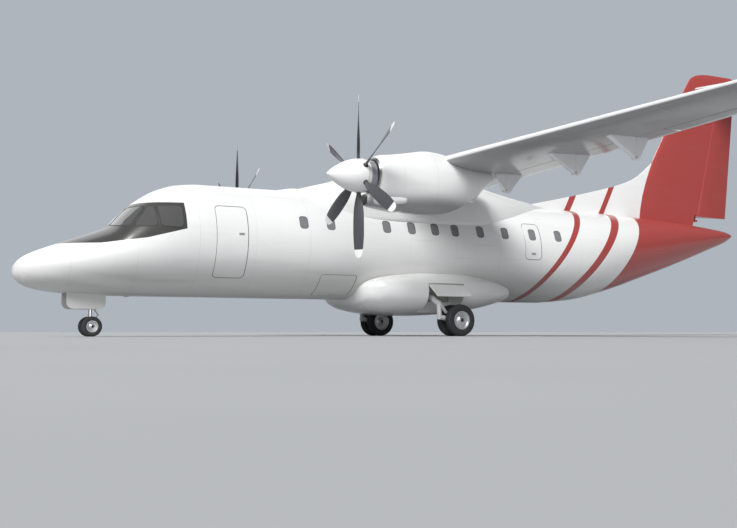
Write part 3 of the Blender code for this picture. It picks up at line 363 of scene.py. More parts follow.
def paint(name, ground, grime, masks=None, pitch=(0.0, 0.0, 0.0), low=None):
    """Gloss paint over metal skin. The pitch is the spacing of the seams along each axis, and masks
    gives (mask, colour) pairs from x, station and height. Below the low height lies a darker film, partly
    dirt and partly painted shade."""
    finish = Finish(name, ground, 0.30, coat=0.35)
    x, y, z, spot = finish.place()
    station, height = y + ORIGIN_STATION, z - AXIS_HEIGHT
    cloud = finish.noise(spot, 0.9, 4.0)
    streaks = finish.noise(spot, 3.0, 3.0, (1.0, 0.12, 1.0))
    colour = finish.mix(cloud * 0.5, ground, tuple(c * 0.93 for c in ground))
    for mask, tint in masks(x, station, height) if masks else ():
        colour = finish.mix(mask, colour, tint)
    grime_and_belly_shade = streaks.soft_step(0.52, 0.78) * grime
    # Below the low height the colour darkens: partly dirt, partly painted shade on the belly.
    if low is not None:
        grime_and_belly_shade = grime_and_belly_shade + (1 - height.soft_step(low - 0.40, low + 0.40)) * (streaks * 0.3 + 0.26)
    colour = finish.mix(grime_and_belly_shade, colour, GRIME_AND_SHADE_TONE)
    waves = finish.noise(spot, 2.2, 2.0) * 0.5 + finish.noise(spot, 260.0, 1.0) * 0.02
    for value, gap in zip((x, y, z), pitch):
        if gap:
            line = seams(value, gap)
            colour = finish.mix(line * 0.30, colour, SEAM)
            waves = waves - line * 0.6
    finish.plug("Base Color", colour)
    finish.plug("Roughness", streaks * 0.10 + 0.24 + grime_and_belly_shade * 0.4)
    finish.bump(waves, 0.25, 0.0025)
    return finish


def livery(x, station, height):
    """The dark shade round the cockpit, two slanted stripes and the red tail."""
    lower = ((station + 4.96) * 0.14 - 1.564).at_least((station + 4.22) * 0.263 - 1.435).at_least(-1.635)
    shade = (height > lower) * (height < -0.56) * (station < -3.45)
    stripe_1 = (station - height * 0.79 - 9.51).size() < 0.115
    stripe_2 = (station - height * 0.83 - 11.09).size() < 0.165
    tail = (station - height * 0.62 - 12.07) > 0
    return [(shade, SHADE), (stripe_1.at_least(stripe_2), RED), (tail, RED)]


def wing_underside_shade(x, station, height):
    """Painted shade: mid grey below the middle of the wing's section, on its lower skin."""
    out = x.size()
    chord = out * (WING_TE[1] - WING_LE[1]) + (WING_TE[0] - WING_LE[0])
    part = (station - out * WING_LE[1] - WING_LE[0]) / chord
    middle = out * DIHEDRAL + part * ROOT_DROP + ROOT_HEIGHT + part * (1 - part) * chord * CAMBER
    return [((middle - height).soft_step(0.005, 0.03), UNDERSIDE_SHADE)]


def tail_underside_shade(x, station, height):
    # Painted shade: mid grey below the stabiliser's middle plane.
    return [((STAB_HEIGHT - height).soft_step(0.0, 0.015), UNDERSIDE_SHADE)]


def dorsal_stripes(x, station, height):
    stripe_1 = (station - (height - 0.21) * 0.56 - 9.71).size() < 0.12
    stripe_2 = (station - (height - 0.19) * 0.56 - 11.095).size() < 0.105
    return [(stripe_1.at_least(stripe_2), RED)]


def nacelle_sides(x, station, height):
    """Painted shade in grey on the belly of each nacelle, and exhaust film on its outboard side behind the
    stub.
    """
    # Painted shade: the belly turns grey below the nacelle's waist.
    belly = 1 - height.soft_step(-0.68, -0.36)
    side = (x.size() - 4.30).soft_step(-0.1, 0.15)
    along = (station - 1.05).soft_step(0.0, 0.9) * (1 - (station - 1.2).soft_step(0.6, 2.4))
    band = 1 - (height + 0.56).size().soft_step(0.0, 0.30)
    return [(belly, UNDERSIDE_SHADE), (side * along * band * 0.30, (0.10, 0.09, 0.08))]


def spinner_band_shade(x, station, height):
    """Painted shade: a grey band on the rear edge of a spinner, behind the blades."""
    return [(station > 0.16, (0.27, 0.27, 0.28))]


# The body darkens below height -2.20, partly dirt and partly painted shade on the belly.
body_paint_and_shade = paint("body_paint_and_shade", WHITE, 0.07, livery, (0.0, 1.52, 0.0), -2.20)
# The grey below the wing is painted shade.
wing_paint_and_shade = paint("wing_paint_and_shade", PALE, 0.08, wing_underside_shade, (1.53, 0.0, 0.0))
# The grey below the stabiliser and elevators is painted shade.
tail_paint_and_shade = paint("tail_paint_and_shade", PALE, 0.08, tail_underside_shade, (0.95, 0.0, 0.0))
plain_paint = paint("plain_paint", WHITE, 0.08)
# Painted light: the fairings are paler than the white paint, so that they look sunlit in the wing's shadow.
wedge_painted_light = paint("wedge_painted_light", (0.92, 0.92, 0.92), 0.05)
# The nacelle's grey belly is painted shade, and the film behind the exhaust is soot.
nacelle_paint_and_shade = paint("nacelle_paint_and_shade", WHITE, 0.10, nacelle_sides, (0.0, 0.94, 0.0))
dorsal_paint = paint("dorsal_paint", WHITE, 0.06, dorsal_stripes)
red_paint = paint("red_paint", RED, 0.05, pitch=(0.0, 0.0, 0.92))
# Painted shade: the spinner's rear edge is grey.
spinner_paint_and_shade = paint("spinner_paint_and_shade", WHITE, 0.05, spinner_band_shade)
print("paints:", [f.material.name for f in (body_paint_and_shade, wing_paint_and_shade, wedge_painted_light, red_paint)])

# %% [markdown]
# The rest is rubber, bare and painted metal, composite, glass and the plain panels seen through an
# open door. Each gets its own grain: rubber is dull and dusty, alloy is brushed in rings, and the
# chrome of a strut is nearly a mirror.

# %% Metal, rubber, glass and trim
def material_of(name, colour, roughness, metallic, coat, grain, spread, bumps=0.15, depth=0.001):
    """A finish whose colour and roughness wander a little, with a fine bump."""
    finish = Finish(name, colour, roughness, metallic, coat)
    spot = finish.place()[-1]
    fine, broad = finish.noise(spot, grain, 4.0), finish.noise(spot, grain / 9, 3.0)
    worn = tuple(min(1.0, c * (1 + 2 * spread)) for c in colour)
    dull = tuple(c * (1 - 2 * spread) for c in colour)
    finish.plug("Base Color", finish.mix((fine + broad) * 0.5, dull, worn))
    finish.plug("Roughness", broad * spread * 1.4 + roughness - spread * 0.7)
    finish.bump(fine, bumps, depth)
    return finish


gear_paint = material_of("gear_paint", (0.60, 0.61, 0.61), 0.34, 0.0, 0.2, 24.0, 0.06)
chrome = material_of("strut_chrome", (0.82, 0.83, 0.84), 0.12, 1.0, 0.0, 90.0, 0.03, 0.05)
bare_steel = material_of("bare_steel", (0.42, 0.41, 0.40), 0.38, 1.0, 0.0, 60.0, 0.14)
scorched = material_of("scorched_steel", (0.17, 0.14, 0.12), 0.55, 1.0, 0.0, 18.0, 0.24)
wheel_alloy = material_of("wheel_alloy", (0.66, 0.67, 0.68), 0.36, 0.85, 0.0, 70.0, 0.05)
tyre_rubber = material_of("tyre_rubber", (0.026, 0.026, 0.027), 0.80, 0.0, 0.0, 55.0, 0.22, 0.35, 0.002)
seal_rubber = material_of("seal_rubber", (0.030, 0.030, 0.031), 0.62, 0.0, 0.0, 80.0, 0.15)
cabin_glass = material_of("cabin_glass", (0.20, 0.205, 0.21), 0.10, 0.0, 0.5, 6.0, 0.05, 0.02)
cockpit_glass = material_of("cockpit_glass", (0.085, 0.084, 0.083), 0.08, 0.0, 0.6, 6.0, 0.05, 0.02)
lamp_glass = material_of("lamp_glass", (0.75, 0.77, 0.78), 0.08, 0.0, 0.8, 20.0, 0.03, 0.05)
red_lens = material_of("red_lens", (0.42, 0.012, 0.010), 0.10, 0.0, 0.8, 20.0, 0.03, 0.05)
green_lens = material_of("green_lens", (0.010, 0.25, 0.06), 0.10, 0.0, 0.8, 20.0, 0.03, 0.05)
cabin_trim = material_of("cabin_trim", (0.58, 0.56, 0.52), 0.55, 0.0, 0.0, 120.0, 0.05, 0.25)
floor_mat = material_of("floor_mat", (0.075, 0.078, 0.085), 0.85, 0.0, 0.0, 190.0, 0.20, 0.6, 0.002)
primer = material_of("bay_primer", (0.44, 0.47, 0.40), 0.55, 0.0, 0.0, 14.0, 0.08)
cast_iron = material_of("engine_iron", (0.16, 0.16, 0.17), 0.55, 0.6, 0.0, 60.0, 0.18)


def blade_finish():
    """Dark composite with a pale tip and a metal strip on the leading edge near the tip."""
    finish = Finish("blade_composite", (0.055, 0.055, 0.06), 0.38)
    x, _, z, spot = finish.place()
    across, up = x.size() - NACELLE_X, z - AXIS_HEIGHT
    radius = (across * across + up * up).root()
    grain = finish.noise(spot, 60.0, 3.0)
    dark = finish.mix(grain, (0.045, 0.045, 0.050), (0.075, 0.075, 0.080))
    tip = (radius - 1.80) > 0
    finish.plug("Base Color", finish.mix(tip, dark, (0.72, 0.72, 0.70)))
    finish.plug("Roughness", grain * 0.12 + 0.32)
    finish.bump(grain, 0.1, 0.001)
    return finish


blade_composite = blade_finish()
for engine in ("engine_L", "engine_R"):
    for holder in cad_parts[engine].material_slots:
        holder.material = cast_iron.material
print("the engine blocks inside the cowls are repainted where they stand")

# %% [markdown]
# The fuselage is a tube 2.95 m across with a drooped nose and an upswept tail. Each section is two half
# ovals that meet at a waist, so five numbers per station draw it. A loft of 96 points a ring is smooth
# enough to carry a gloss highlight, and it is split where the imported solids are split.

# %% Fuselage form
BODY_RADIUS, BODY_AXIS, BODY_SIDES = 1.473, -1.412, 96
BODY_TOP, BODY_BOTTOM = BODY_AXIS + BODY_RADIUS, BODY_AXIS - BODY_RADIUS
NOSE_FORM = (
    # station, top, bottom, half width, waist
    (-7.345, -2.24, -2.40, 0.08, -2.32),
    (-7.25, -2.08, -2.55, 0.27, -2.31),
    (-7.00, -1.90, -2.70, 0.50, -2.27),
    (-6.60, -1.73, -2.79, 0.74, -2.20),
    (-6.00, -1.51, -2.85, 1.00, -2.08),
    (-5.30, -1.25, -2.88, 1.22, -1.92),
    (-5.05, -1.13, -2.885, 1.28, -1.86),
    (-4.75, -0.82, -2.885, 1.34, -1.78),
    (-4.35, -0.46, -2.885, 1.40, -1.68),
    (-3.85, -0.16, -2.885, 1.45, -1.56),
    (-3.35, 0.00, -2.885, 1.468, -1.47),
    (-2.85, BODY_TOP, BODY_BOTTOM, BODY_RADIUS, BODY_AXIS),
)
TAIL_FORM = (
    # station, top, bottom, half width, waist
    (8.40, BODY_TOP, BODY_BOTTOM, BODY_RADIUS, BODY_AXIS),
    (9.60, 0.055, -2.78, 1.44, -1.36),
    (11.00, 0.03, -2.47, 1.31, -1.19),
    (12.50, -0.02, -2.03, 1.07, -0.97),
    (14.20, -0.10, -1.50, 0.74, -0.74),
    (15.80, -0.21, -0.96, 0.39, -0.55),
    (16.70, -0.31, -0.64, 0.17, -0.46),
    (16.95, -0.38, -0.50, 0.06, -0.44),
)


def body_form(station):
    return form_at(NOSE_FORM if station < NOSE_FORM[-1][0] else TAIL_FORM, station)


def skin_ring(station, shrink=1.0):
    top, bottom, half, waist = body_form(station)
    ring = []
    for k in range(BODY_SIDES):
        turn = 2 * math.pi * k / BODY_SIDES
        rise = top - waist if math.sin(turn) > 0 else waist - bottom
        ring.append(at(half * math.cos(turn) * shrink, station, waist + rise * math.sin(turn) * shrink))
    return ring


SKIN_STATIONS = steps(-7.30, -2.80, 45) + steps(-2.2, 8.0, 17) + steps(8.4, 16.9, 34)


def skin_between(front, rear):
    inner = [s for s in SKIN_STATIONS if front + 0.02 < s < rear - 0.02]
    return loft([skin_ring(s) for s in (front, *inner, rear)])


print("the crown is at", round(at(0, 0, BODY_TOP).z, 3), "m above the ground")

# %% [markdown]
# Doors and windows are rounded rectangles laid on the tube: their outlines are pairs of station and
# angle, and a point follows the tube at any distance in or out. One function then makes a door panel,
# a window pane or the cutter for its opening, all parallel to the skin.

# %% Openings on the barrel
PASSENGER_DOOR = dict(front=-2.69, rear=-1.83, low=-43.0, high=34.0, corner=0.13)
CARGO_HATCH = dict(front=0.35, rear=1.45, low=-70.0, high=-35.0, corner=0.10)
REAR_EXIT = dict(front=6.90, rear=7.50, low=-10.0, high=34.5, corner=0.12)
WINDOW_STATIONS = (-0.25, 0.541, 1.392, 2.25, 3.039, 3.804, 4.474, 5.338, 6.209, 8.164)
WINDOW_WIDTH, WINDOW_HEIGHT, WINDOW_CORNER, WINDOW_ANGLE = 0.25, 0.36, 0.085, 19.7
GAP = 0.016  # all round a door, seen as its dark outline
MIDWAY = (0.5, 0.0, -0.5)


def spot_on(station, angle, half, reach, corner):
    """An opening given by its middle, half its length and half its angle."""
    low, high = angle - reach, angle + reach
    return dict(front=station - half, rear=station + half, low=low, high=high, corner=corner)


def window_at(station):
    reach = math.degrees(WINDOW_HEIGHT / 2 / BODY_RADIUS)
    return spot_on(station, WINDOW_ANGLE, WINDOW_WIDTH / 2, reach, WINDOW_CORNER)


def outline_of(opening, inset=0.0, share=1.0):
    """Station and angle pairs round a rounded rectangle. A share shrinks it about its middle."""
    middle = (opening["front"] + opening["rear"]) / 2
    half = (opening["rear"] - opening["front"]) / 2 - inset
    low, high = (math.radians(opening[k]) * BODY_RADIUS for k in ("low", "high"))
    centre, reach = (low + high) / 2, (high - low) / 2 - inset
    corner = max(0.004, opening["corner"] - inset)
    pairs = rounded(half, reach, corner, 6, MIDWAY, steps(0.8, -0.8, 8))
    return [(middle + share * a, (centre + share * b) / BODY_RADIUS) for a, b in pairs]


def on_barrel(side, station, angle, out=0.0):
    radius = BODY_RADIUS + out
    return at(side * radius * math.cos(angle), station, BODY_AXIS + radius * math.sin(angle))


def round_barrel(opening, side, rows, joined=False):
    """A loft round an opening. Each row is a distance out of the skin, an inset and a share."""
    rings = [[on_barrel(side, s, a, out) for s, a in outline_of(opening, i, f)] for out, i, f in rows]
    return loft(rings, joined)


def curved_panel(opening, side, inset, outer, inner, soft=0.0):
    """A closed slab that follows the barrel between two distances from the skin."""
    shares = (0.03, 0.2, 0.4, 0.6, 0.8)
    rows = [(outer, inset + soft, share) for share in (*shares, 1.0)]
    rows += [(outer - soft, inset, 1.0)] if soft else []
    rows += [(inner, inset, share) for share in (1.0, *reversed(shares))]
    return round_barrel(opening, side, rows)


def curved_frame(opening, side, section):
    """A ring round an opening. The section is a closed list of (inset, out) pairs."""
    return round_barrel(opening, side, [(out, inset, 1.0) for inset, out in section], True)


def leaf(opening, side):
    """The panel of a door or hatch, with the gap all round it."""
    return curved_panel(opening, side, GAP, 0.0, -0.10, 0.004)


def doorway(opening, side):
    """The cutter that makes room for a door or hatch."""
    return curved_panel(opening, side, 0.0, 0.06, -0.13)


print("a door outline has", len(outline_of(PASSENGER_DOOR)), "points")

# %% [markdown]
# The radome, the forward fuselage, the centre, the rear and the tail cone come next. The doorways, the
# nose bay and twenty window pockets are cut into the skins, so that the doors have somewhere to open
# from, and each pane sits a little below the paint as a real one does.

# %% Skins
WINDOW_POCKET = 0.022  # its depth below the skin


def radome():
    tip = [skin_ring(-7.345, 0.3), skin_ring(-7.342, 0.62), skin_ring(-7.336, 0.86)]
    stations = [-7.327, -7.315, *steps(-7.30, -6.40, 9), -6.3004]
    return loft([*tip, *(skin_ring(s) for s in stations)])


def body_piece(name, shape, node, sharp=32):
    piece(name, shape, body_paint_and_shade, "airframe", [node], sharp)


vestibule = block((0.50, -2.66, -2.36), (1.36, -1.86, -0.66), 0.04)
nose_bay = block((-0.26, -6.12, -3.2), (0.26, -5.12, -2.35), 0.01)
forward = skin_between(-6.2996, -0.9004)
for tool in (doorway(PASSENGER_DOOR, 1), vestibule, nose_bay):
    forward = carve(forward, tool)

hold = [on_barrel(1, 0.38, math.radians(a), -0.02) for a in (-67.0, -38.0)]
hold += [at(0.35, 0.38, point.z - AXIS_HEIGHT) for point in reversed(hold)]
pockets = []
for station in WINDOW_STATIONS:
    pockets += [curved_panel(window_at(station), side, 0.0, 0.05, -WINDOW_POCKET) for side, _ in SIDES]
centre = skin_between(-0.8996, 8.3996)
for tool in (gather(*pockets), doorway(CARGO_HATCH, 1), slab(hold, Vector((0, 1.04, 0))),
             doorway(REAR_EXIT, 1), doorway(REAR_EXIT, -1)):
    centre = carve(centre, tool)

body_piece("radome_skin", radome(), "nose_radome")
body_piece("forward_skin", forward, "forward_fuselage", sharp=28)
body_piece("centre_skin", centre, "centre_fuselage", sharp=28)
body_piece("aft_skin", skin_between(8.4004, 12.1996), "aft_fuselage")
body_piece("tail_cone_skin", skin_between(12.2004, 16.95), "tail_cone")

# %% [markdown]
# A cabin window repeats twenty times, with a pane and a rubber ring. Geometry Nodes suit this: one tree
# copies any small mesh to a set of points and turns each copy as its point says. The panes are made flat
# on the point of each window and then rolled to the radius of the tube.

# %% Trees that copy a mesh to points
def instancer(name, inputs, kinds, wires):
    """A Geometry Nodes tree that puts copies of a unit on points, realizes them and gives them a finish.
    A wire is (node, its output, node, its input)."""
    tree = bpy.data.node_groups.new(name, "GeometryNodeTree")
    ids = {}
    for label, kind in (*inputs, ("Finish", "Material")):
        socket = tree.interface.new_socket(label, in_out="INPUT", socket_type="NodeSocket" + kind)
        ids[label] = socket.identifier
    tree.interface.new_socket("Copies", in_out="OUTPUT", socket_type="NodeSocketGeometry")
    kinds = dict(kinds, source="NodeGroupInput", result="NodeGroupOutput", colour="GeometryNodeSetMaterial",
                 place="GeometryNodeInstanceOnPoints", real="GeometryNodeRealizeInstances")
    nodes = {key: tree.nodes.new(kind) for key, kind in kinds.items()}
    shared = (("place", 0, "real", 0), ("real", 0, "colour", 0), ("colour", 0, "result", 0),
              ("source", "Finish", "colour", "Material"))
    for start, output, end, entry in (*wires, *shared):
        tree.links.new(nodes[start].outputs[output], nodes[end].inputs[entry])
    return tree, ids, nodes


def grown(name, points, tree, ids, values):
    """Runs a tree on a mesh of points and returns an object that holds the result as a plain mesh."""
    holder = bpy.data.objects.new(name, points)
    bpy.context.scene.collection.objects.link(holder)
    change = holder.modifiers.new("copies", "NODES")
    change.node_group = tree
    for label, value in values.items():
        change[ids[label]] = value
    mesh = evaluated(holder)
    holder.modifiers.remove(change)
    holder.data = mesh
    return holder


COPIES, COPIES_IDS, nodes = instancer(
    "copies_on_points", (("Points", "Geometry"), ("Unit", "Object")),
    dict(unit="GeometryNodeObjectInfo", turn="GeometryNodeInputNamedAttribute",
         spin="FunctionNodeEulerToRotation"),
    (("source", "Unit", "unit", "Object"), ("turn", "Attribute", "spin", 0), ("spin", 0, "place", "Rotation"),
     ("source", "Points", "place", "Points"), ("unit", "Geometry", "place", "Instance")))
nodes["turn"].data_type = "FLOAT_VECTOR"
nodes["turn"].inputs["Name"].default_value = "turn"


def copies(name, unit, places, finish):
    """Copies a shape to (point, turn) places and returns one plain object."""
    sample = as_object("unit", unit)
    cloud = bpy.data.meshes.new("points")
    cloud.from_pydata([tuple(point) for point, _ in places], [], [])
    turns = cloud.attributes.new("turn", "FLOAT_VECTOR", "POINT")
    for spot, (_, turn) in zip(turns.data, places):
        spot.vector = turn
    made = grown(name, cloud, COPIES, COPIES_IDS, {"Unit": sample, "Finish": finish.material})
    bpy.data.objects.remove(sample)
    print(name, "has", len(places), "copies")
    return made


print("inputs of the tree:", list(COPIES_IDS))

# %% Cabin windows
PANE_INSET, PANE_OUT, PANE_IN = 0.012, -0.007, -0.020
WINDOW_BEAD = [(0.001, -0.020), (0.001, -0.003), (0.009, -0.002), (0.016, -0.006), (0.016, -0.020)]


def flat_window(rows, joined=False):
    """A loft of a window's outline in the XY plane. Each row is an inset, a share and a height."""
    rings = []
    for inset, share, z in rows:
        half, reach = WINDOW_WIDTH / 2 - inset, WINDOW_HEIGHT / 2 - inset
        outline = rounded(half, reach, WINDOW_CORNER - inset, 5, (), MIDWAY)
        rings.append([Vector((a * share, b * share, z)) for a, b in outline])
    return loft(rings, joined)


def roll(made):
    """Bends copies made on a plane that touches the barrel until they lie round it."""
    tilt = math.radians(WINDOW_ANGLE)
    for vertex in made.data.vertices:
        side = math.copysign(1.0, vertex.co.x)
        across, up = abs(vertex.co.x), vertex.co.z - AXIS_HEIGHT - BODY_AXIS
        out = across * math.cos(tilt) + up * math.sin(tilt)
        angle = tilt + (up * math.cos(tilt) - across * math.sin(tilt)) / BODY_RADIUS
        vertex.co.x = side * out * math.cos(angle)
        vertex.co.z = AXIS_HEIGHT + BODY_AXIS + out * math.sin(angle)
    return made


def window_places():
    """The middle of each window on the skin, turned so that a copy's +Z points out of it."""
    tilt = math.radians(WINDOW_ANGLE)
    places = []
    for side, _ in SIDES:
        out, along = Vector((side * math.cos(tilt), 0, math.sin(tilt))), Vector((0, side, 0))
        turn = Matrix((along, out.cross(along), out)).transposed().to_euler()
        places += [(on_barrel(side, station, tilt), turn) for station in WINDOW_STATIONS]
    return places


pane_rows = [(PANE_INSET, f, PANE_OUT) for f in (0.05, 0.5, 1.0)]
pane_rows += [(PANE_INSET, f, PANE_IN) for f in (1.0, 0.5, 0.05)]
bead_rows = [(inset, 1.0, z) for inset, z in WINDOW_BEAD]
for name, unit, finish in (
    ("cabin_panes", flat_window(pane_rows), cabin_glass),
    ("cabin_window_seals", flat_window(bead_rows, True), seal_rubber),
):
    dress(roll(copies(name, unit, window_places(), finish)), finish, "airframe")

# %% [markdown]
# The passenger door hinges at its sill and lowers to the ground side, so its inside carries the steps.
# The cargo hatch lifts, and the two rear exits are plugs with a window each. Their gaps are real, and a
# rubber seal lies in each of them, which is what draws the thin dark outline seen from outside.

# %% Doors
SEAL = [(0.0005, -0.030), (0.0005, -0.005), (0.0135, -0.005), (0.0135, -0.030)]


def inner_panel(opening, depth):
    return curved_panel(opening, 1, 0.07, -0.099, -depth, 0.004)


def door_steps(low, high):
    """Five treads across the inside of the door, or their mats, between two heights on each step."""
    corners = ((-0.112, low), (-0.285, low), (-0.285, high), (-0.112, high))
    foot, head = (math.radians(PASSENGER_DOOR[end]) for end in ("low", "high"))
    shapes = []
    for share in (0.12, 0.31, 0.50, 0.69, 0.88):
        angle = foot + (head - foot) * share
        ring = [on_barrel(1, -2.52, angle, out) + Vector((0, 0, up)) for out, up in corners]
        shapes.append(slab(ring, Vector((0, 0.52, 0))))
    return gather(*shapes)


def door_rail(station):
    """A side rail that runs up the inside of the door."""
    angles = [math.radians(a) for a in steps(-38.0, 29.0, 16)]
    bottom, top = ([on_barrel(1, station, a, out) for a in angles] for out in (-0.110, -0.155))
    return slab(bottom + top[::-1], Vector((0, 0.022, 0)))


def door_grip(station):
    places = ((26, -0.11), (24, -0.19), (4, -0.20), (-8, -0.11))
    return bar([on_barrel(1, station, math.radians(a), out) for a, out in places], 0.012, 10)


def leaf_piece(name, opening):
    piece(f"{name}_panel", leaf(opening, 1), body_paint_and_shade, name, [name])


leaf_piece("passenger_door", PASSENGER_DOOR)
for name, shape, finish in (
    ("passenger_door_lining", inner_panel(PASSENGER_DOOR, 0.118), cabin_trim),
    ("door_treads", door_steps(0.0, 0.028), cabin_trim),
    ("door_tread_mats", door_steps(0.028, 0.034), floor_mat),
    ("door_side_rails", gather(door_rail(-2.545), door_rail(-2.0)), gear_paint),
    ("door_hand_grips", gather(door_grip(-2.60), door_grip(-1.94)), chrome),
):
    piece(name, shape, finish, "passenger_door")
leaf_piece("cargo_hatch", CARGO_HATCH)
piece("cargo_hatch_lining", inner_panel(CARGO_HATCH, 0.115), primer, "cargo_hatch")

# %% Handles, seals and rear exits
for body, side, station, angle in (
    ("passenger_door", 1, -2.02, 4.0),
    ("cargo_hatch", 1, 0.90, -64.0),
    ("airframe", 1, 7.20, -3.0),
    ("airframe", -1, 7.20, -3.0),
):
    mark = f"{body}_{int(station * 100)}_{'L' if side > 0 else 'R'}".replace("-", "m")
    dish = curved_panel(spot_on(station, angle, 0.085, 1.6, 0.03), side, 0.0, 0.0012, -0.004)
    lever = curved_panel(spot_on(station, angle, 0.0714, 0.7, 0.012), side, 0.0, 0.004, -0.001, 0.001)
    piece(f"handle_dish_{mark}", dish, gear_paint, body)
    piece(f"handle_lever_{mark}", lever, bare_steel, body)

seals = [curved_frame(opening, 1, SEAL) for opening in (PASSENGER_DOOR, CARGO_HATCH)]
exit_window = window_at(7.20)
for side, mark in SIDES:
    seals.append(curved_frame(REAR_EXIT, side, SEAL))
    panel = carve(leaf(REAR_EXIT, side), curved_panel(exit_window, side, 0.0, 0.05, -WINDOW_POCKET))
    body_piece(f"rear_exit_panel_{mark}", panel, f"rear_exit_{mark}", sharp=28)
    pane = curved_panel(exit_window, side, PANE_INSET, PANE_OUT, PANE_IN)
    piece(f"rear_exit_pane_{mark}", pane, cabin_glass)
    piece(f"rear_exit_window_seal_{mark}", curved_frame(exit_window, side, WINDOW_BEAD), seal_rubber)
piece("door_seals", gather(*seals), seal_rubber)

# %% [markdown]
# Behind the open passenger door is a small entry space. Its floor, ceiling and walls are thin liners
# inside the cut, with a carpet on the floor, so the opening doesn't show bare paint.

# %% Entry
WALL = 0.006


def liner(low, high):
    """Thin walls on the inside of a box that is open towards the port side."""
    (x0, s0, z0), (x1, s1, z1) = low, high
    walls = [((x0, s0, z0), (x0 + WALL, s1, z1)), ((x0, s0, z1 - WALL), (x1, s1, z1))]
    walls += [((x0, s0, z0), (x1, s0 + WALL, z1)), ((x0, s1 - WALL, z0), (x1, s1, z1))]
    return gather(*(block(a, b) for a, b in walls))


low, high = (0.505, -2.655, -2.355), (1.02, -1.865, -0.665)
piece("entry_walls", liner(low, high), cabin_trim)
piece("entry_carpet", block(low, (1.06, high[1], low[2] + 0.012)), floor_mat)
print("the entry is", round(high[1] - low[1], 2), "m wide")

# %% [markdown]
# The cockpit has six panes in a dark painted surround. The front pair faces forward and the others wrap
# round the sides. Each pane is a patch between four corners, laid on the nose form, and stands a few
# millimetres proud with a rubber bead round it.

# %% Cockpit glass
def nose_half_width(height, station):
    top, bottom, half, waist = body_form(station)
    rise = top - waist if height > waist else waist - bottom
    return half * math.sqrt(max(0.0, 1 - ((height - waist) / rise) ** 2))


def nose_station(x, height):
    """The station at which the nose is as wide as x at a height, found by halving."""
    ahead, behind = -7.3, -2.9
    for _ in range(34):
        middle = (ahead + behind) / 2
        ahead, behind = (middle, behind) if nose_half_width(height, middle) < abs(x) else (ahead, middle)
    return behind


# Four corners of each port pane: low front, high front, high rear, low rear. The first number of each is
# x on the front pane, which faces ahead, and the station on the other two. The second is the height.
PANES = (
    ((0.050, -1.110), (0.045, -0.660), (0.790, -0.665), (1.020, -1.195)),
    ((-4.700, -1.200), (-4.290, -0.665), (-4.170, -0.660), (-4.175, -1.185)),
    ((-4.080, -1.185), (-4.100, -0.660), (-3.530, -0.650), (-3.545, -1.200)),
)


def nose_point(spot, height):
    if spot < 0:
        return at(nose_half_width(height, spot), spot, height)
    return at(spot, nose_station(spot, height), height)


def between(a, b, share):
    return [p + (q - p) * share for p, q in zip(a, b)]


def pane_point(corners, u, v, out):
    """A point of a pane, u from front to rear and v from bottom to top, on the nose form moved out."""
    spot, height = between(between(corners[0], corners[3], u), between(corners[1], corners[2], u), v)
    point = nose_point(spot, height)
    near = nose_point(spot + 0.01, height) - point
    over = nose_point(spot, height + 0.01) - point
    normal = near.cross(over).normalized()
    if normal.x < 0 or (normal.x < 0.2 and normal.y > 0):
        normal = -normal
    return point + normal * out


def wrapped(corners, rows, joined=False):
    """A loft round a pane, laid on the nose form. Each row is a share of the pane and a distance out."""
    outline = rounded(0.5, 0.5, 0.16, 5, MIDWAY, MIDWAY)
    rings = [[pane_point(corners, 0.5 + a * f, 0.5 + b * f, out) for a, b in outline] for f, out in rows]
    return loft(rings, joined)


shares = (0.04, 0.3, 0.6, 0.85, 1.0)
sheet_rows = [(f, 0.004) for f in shares] + [(f, -0.012) for f in reversed(shares)]
bead_section = [(1.0, -0.008), (1.0, 0.007), (1.05, 0.008), (1.075, 0.001), (1.075, -0.008)]
glass, beads = [], []
for corners in PANES:
    sheet, bead = wrapped(corners, sheet_rows), wrapped(corners, bead_section, True)
    glass += [sheet, mirrored(sheet)]
    beads += [bead, mirrored(bead)]
piece("cockpit_panes", gather(*glass), cockpit_glass, "airframe", ["cockpit_glazing"])
piece("cockpit_pane_seals", gather(*beads), seal_rubber)

# %% [markdown]
# Two fairings blend the parts that a plain tube can't carry: the pod under the belly that takes the
# main wheels, and the hump that carries the wing over the cabin. Both are squarish ovals along a table
# of sections, with smooth curves between the rows.

# %% Fairings
def oval(station, x, top, bottom, half, waist, sides=72, square=2.0):
    ring = []
    for k in range(sides):
        turn = 2 * math.pi * k / sides
        c, s = math.cos(turn), math.sin(turn)
        c, s = (math.copysign(abs(v) ** (2 / square), v) for v in (c, s))
        ring.append(at(x + half * c, station, waist + (top - waist if s > 0 else waist - bottom) * s))
    return ring


GEAR_FAIRING = (
    # station, half width, bottom, shoulder height
    (1.60, 1.00, -2.80, -2.54),
    (1.70, 1.40, -3.02, -2.40),
    (2.05, 1.76, -3.18, -2.26),
    (2.70, 1.97, -3.28, -2.16),
    (3.60, 2.05, -3.32, -2.10),
    (4.60, 2.03, -3.27, -2.10),
    (5.40, 1.88, -3.15, -2.20),
    (6.00, 1.62, -3.02, -2.34),
    (6.40, 1.32, -2.92, -2.48),
    (6.60, 0.98, -2.85, -2.58),
)
WING_FAIRING = (
    # station, half width, top
    (-0.60, 0.45, -0.10),
    (0.10, 0.88, 0.12),
    (1.00, 1.18, 0.36),
    (2.00, 1.31, 0.66),
    (2.80, 1.35, 0.80),
    (4.20, 1.35, 0.80),
    (5.40, 1.30, 0.60),
    (6.60, 1.10, 0.36),
    (7.80, 0.70, 0.20),
    (8.60, 0.30, 0.12),
)


def pod_ring(station):
    half, bottom, shoulder = form_at(GEAR_FAIRING, station)
    return oval(station, 0.0, shoulder, bottom, half, (shoulder + bottom) / 2 + 0.10, square=2.9)


def hump_ring(station):
    half, top = form_at(WING_FAIRING, station)
    return oval(station, 0.0, top, -0.90, half, -0.62, square=3.2)


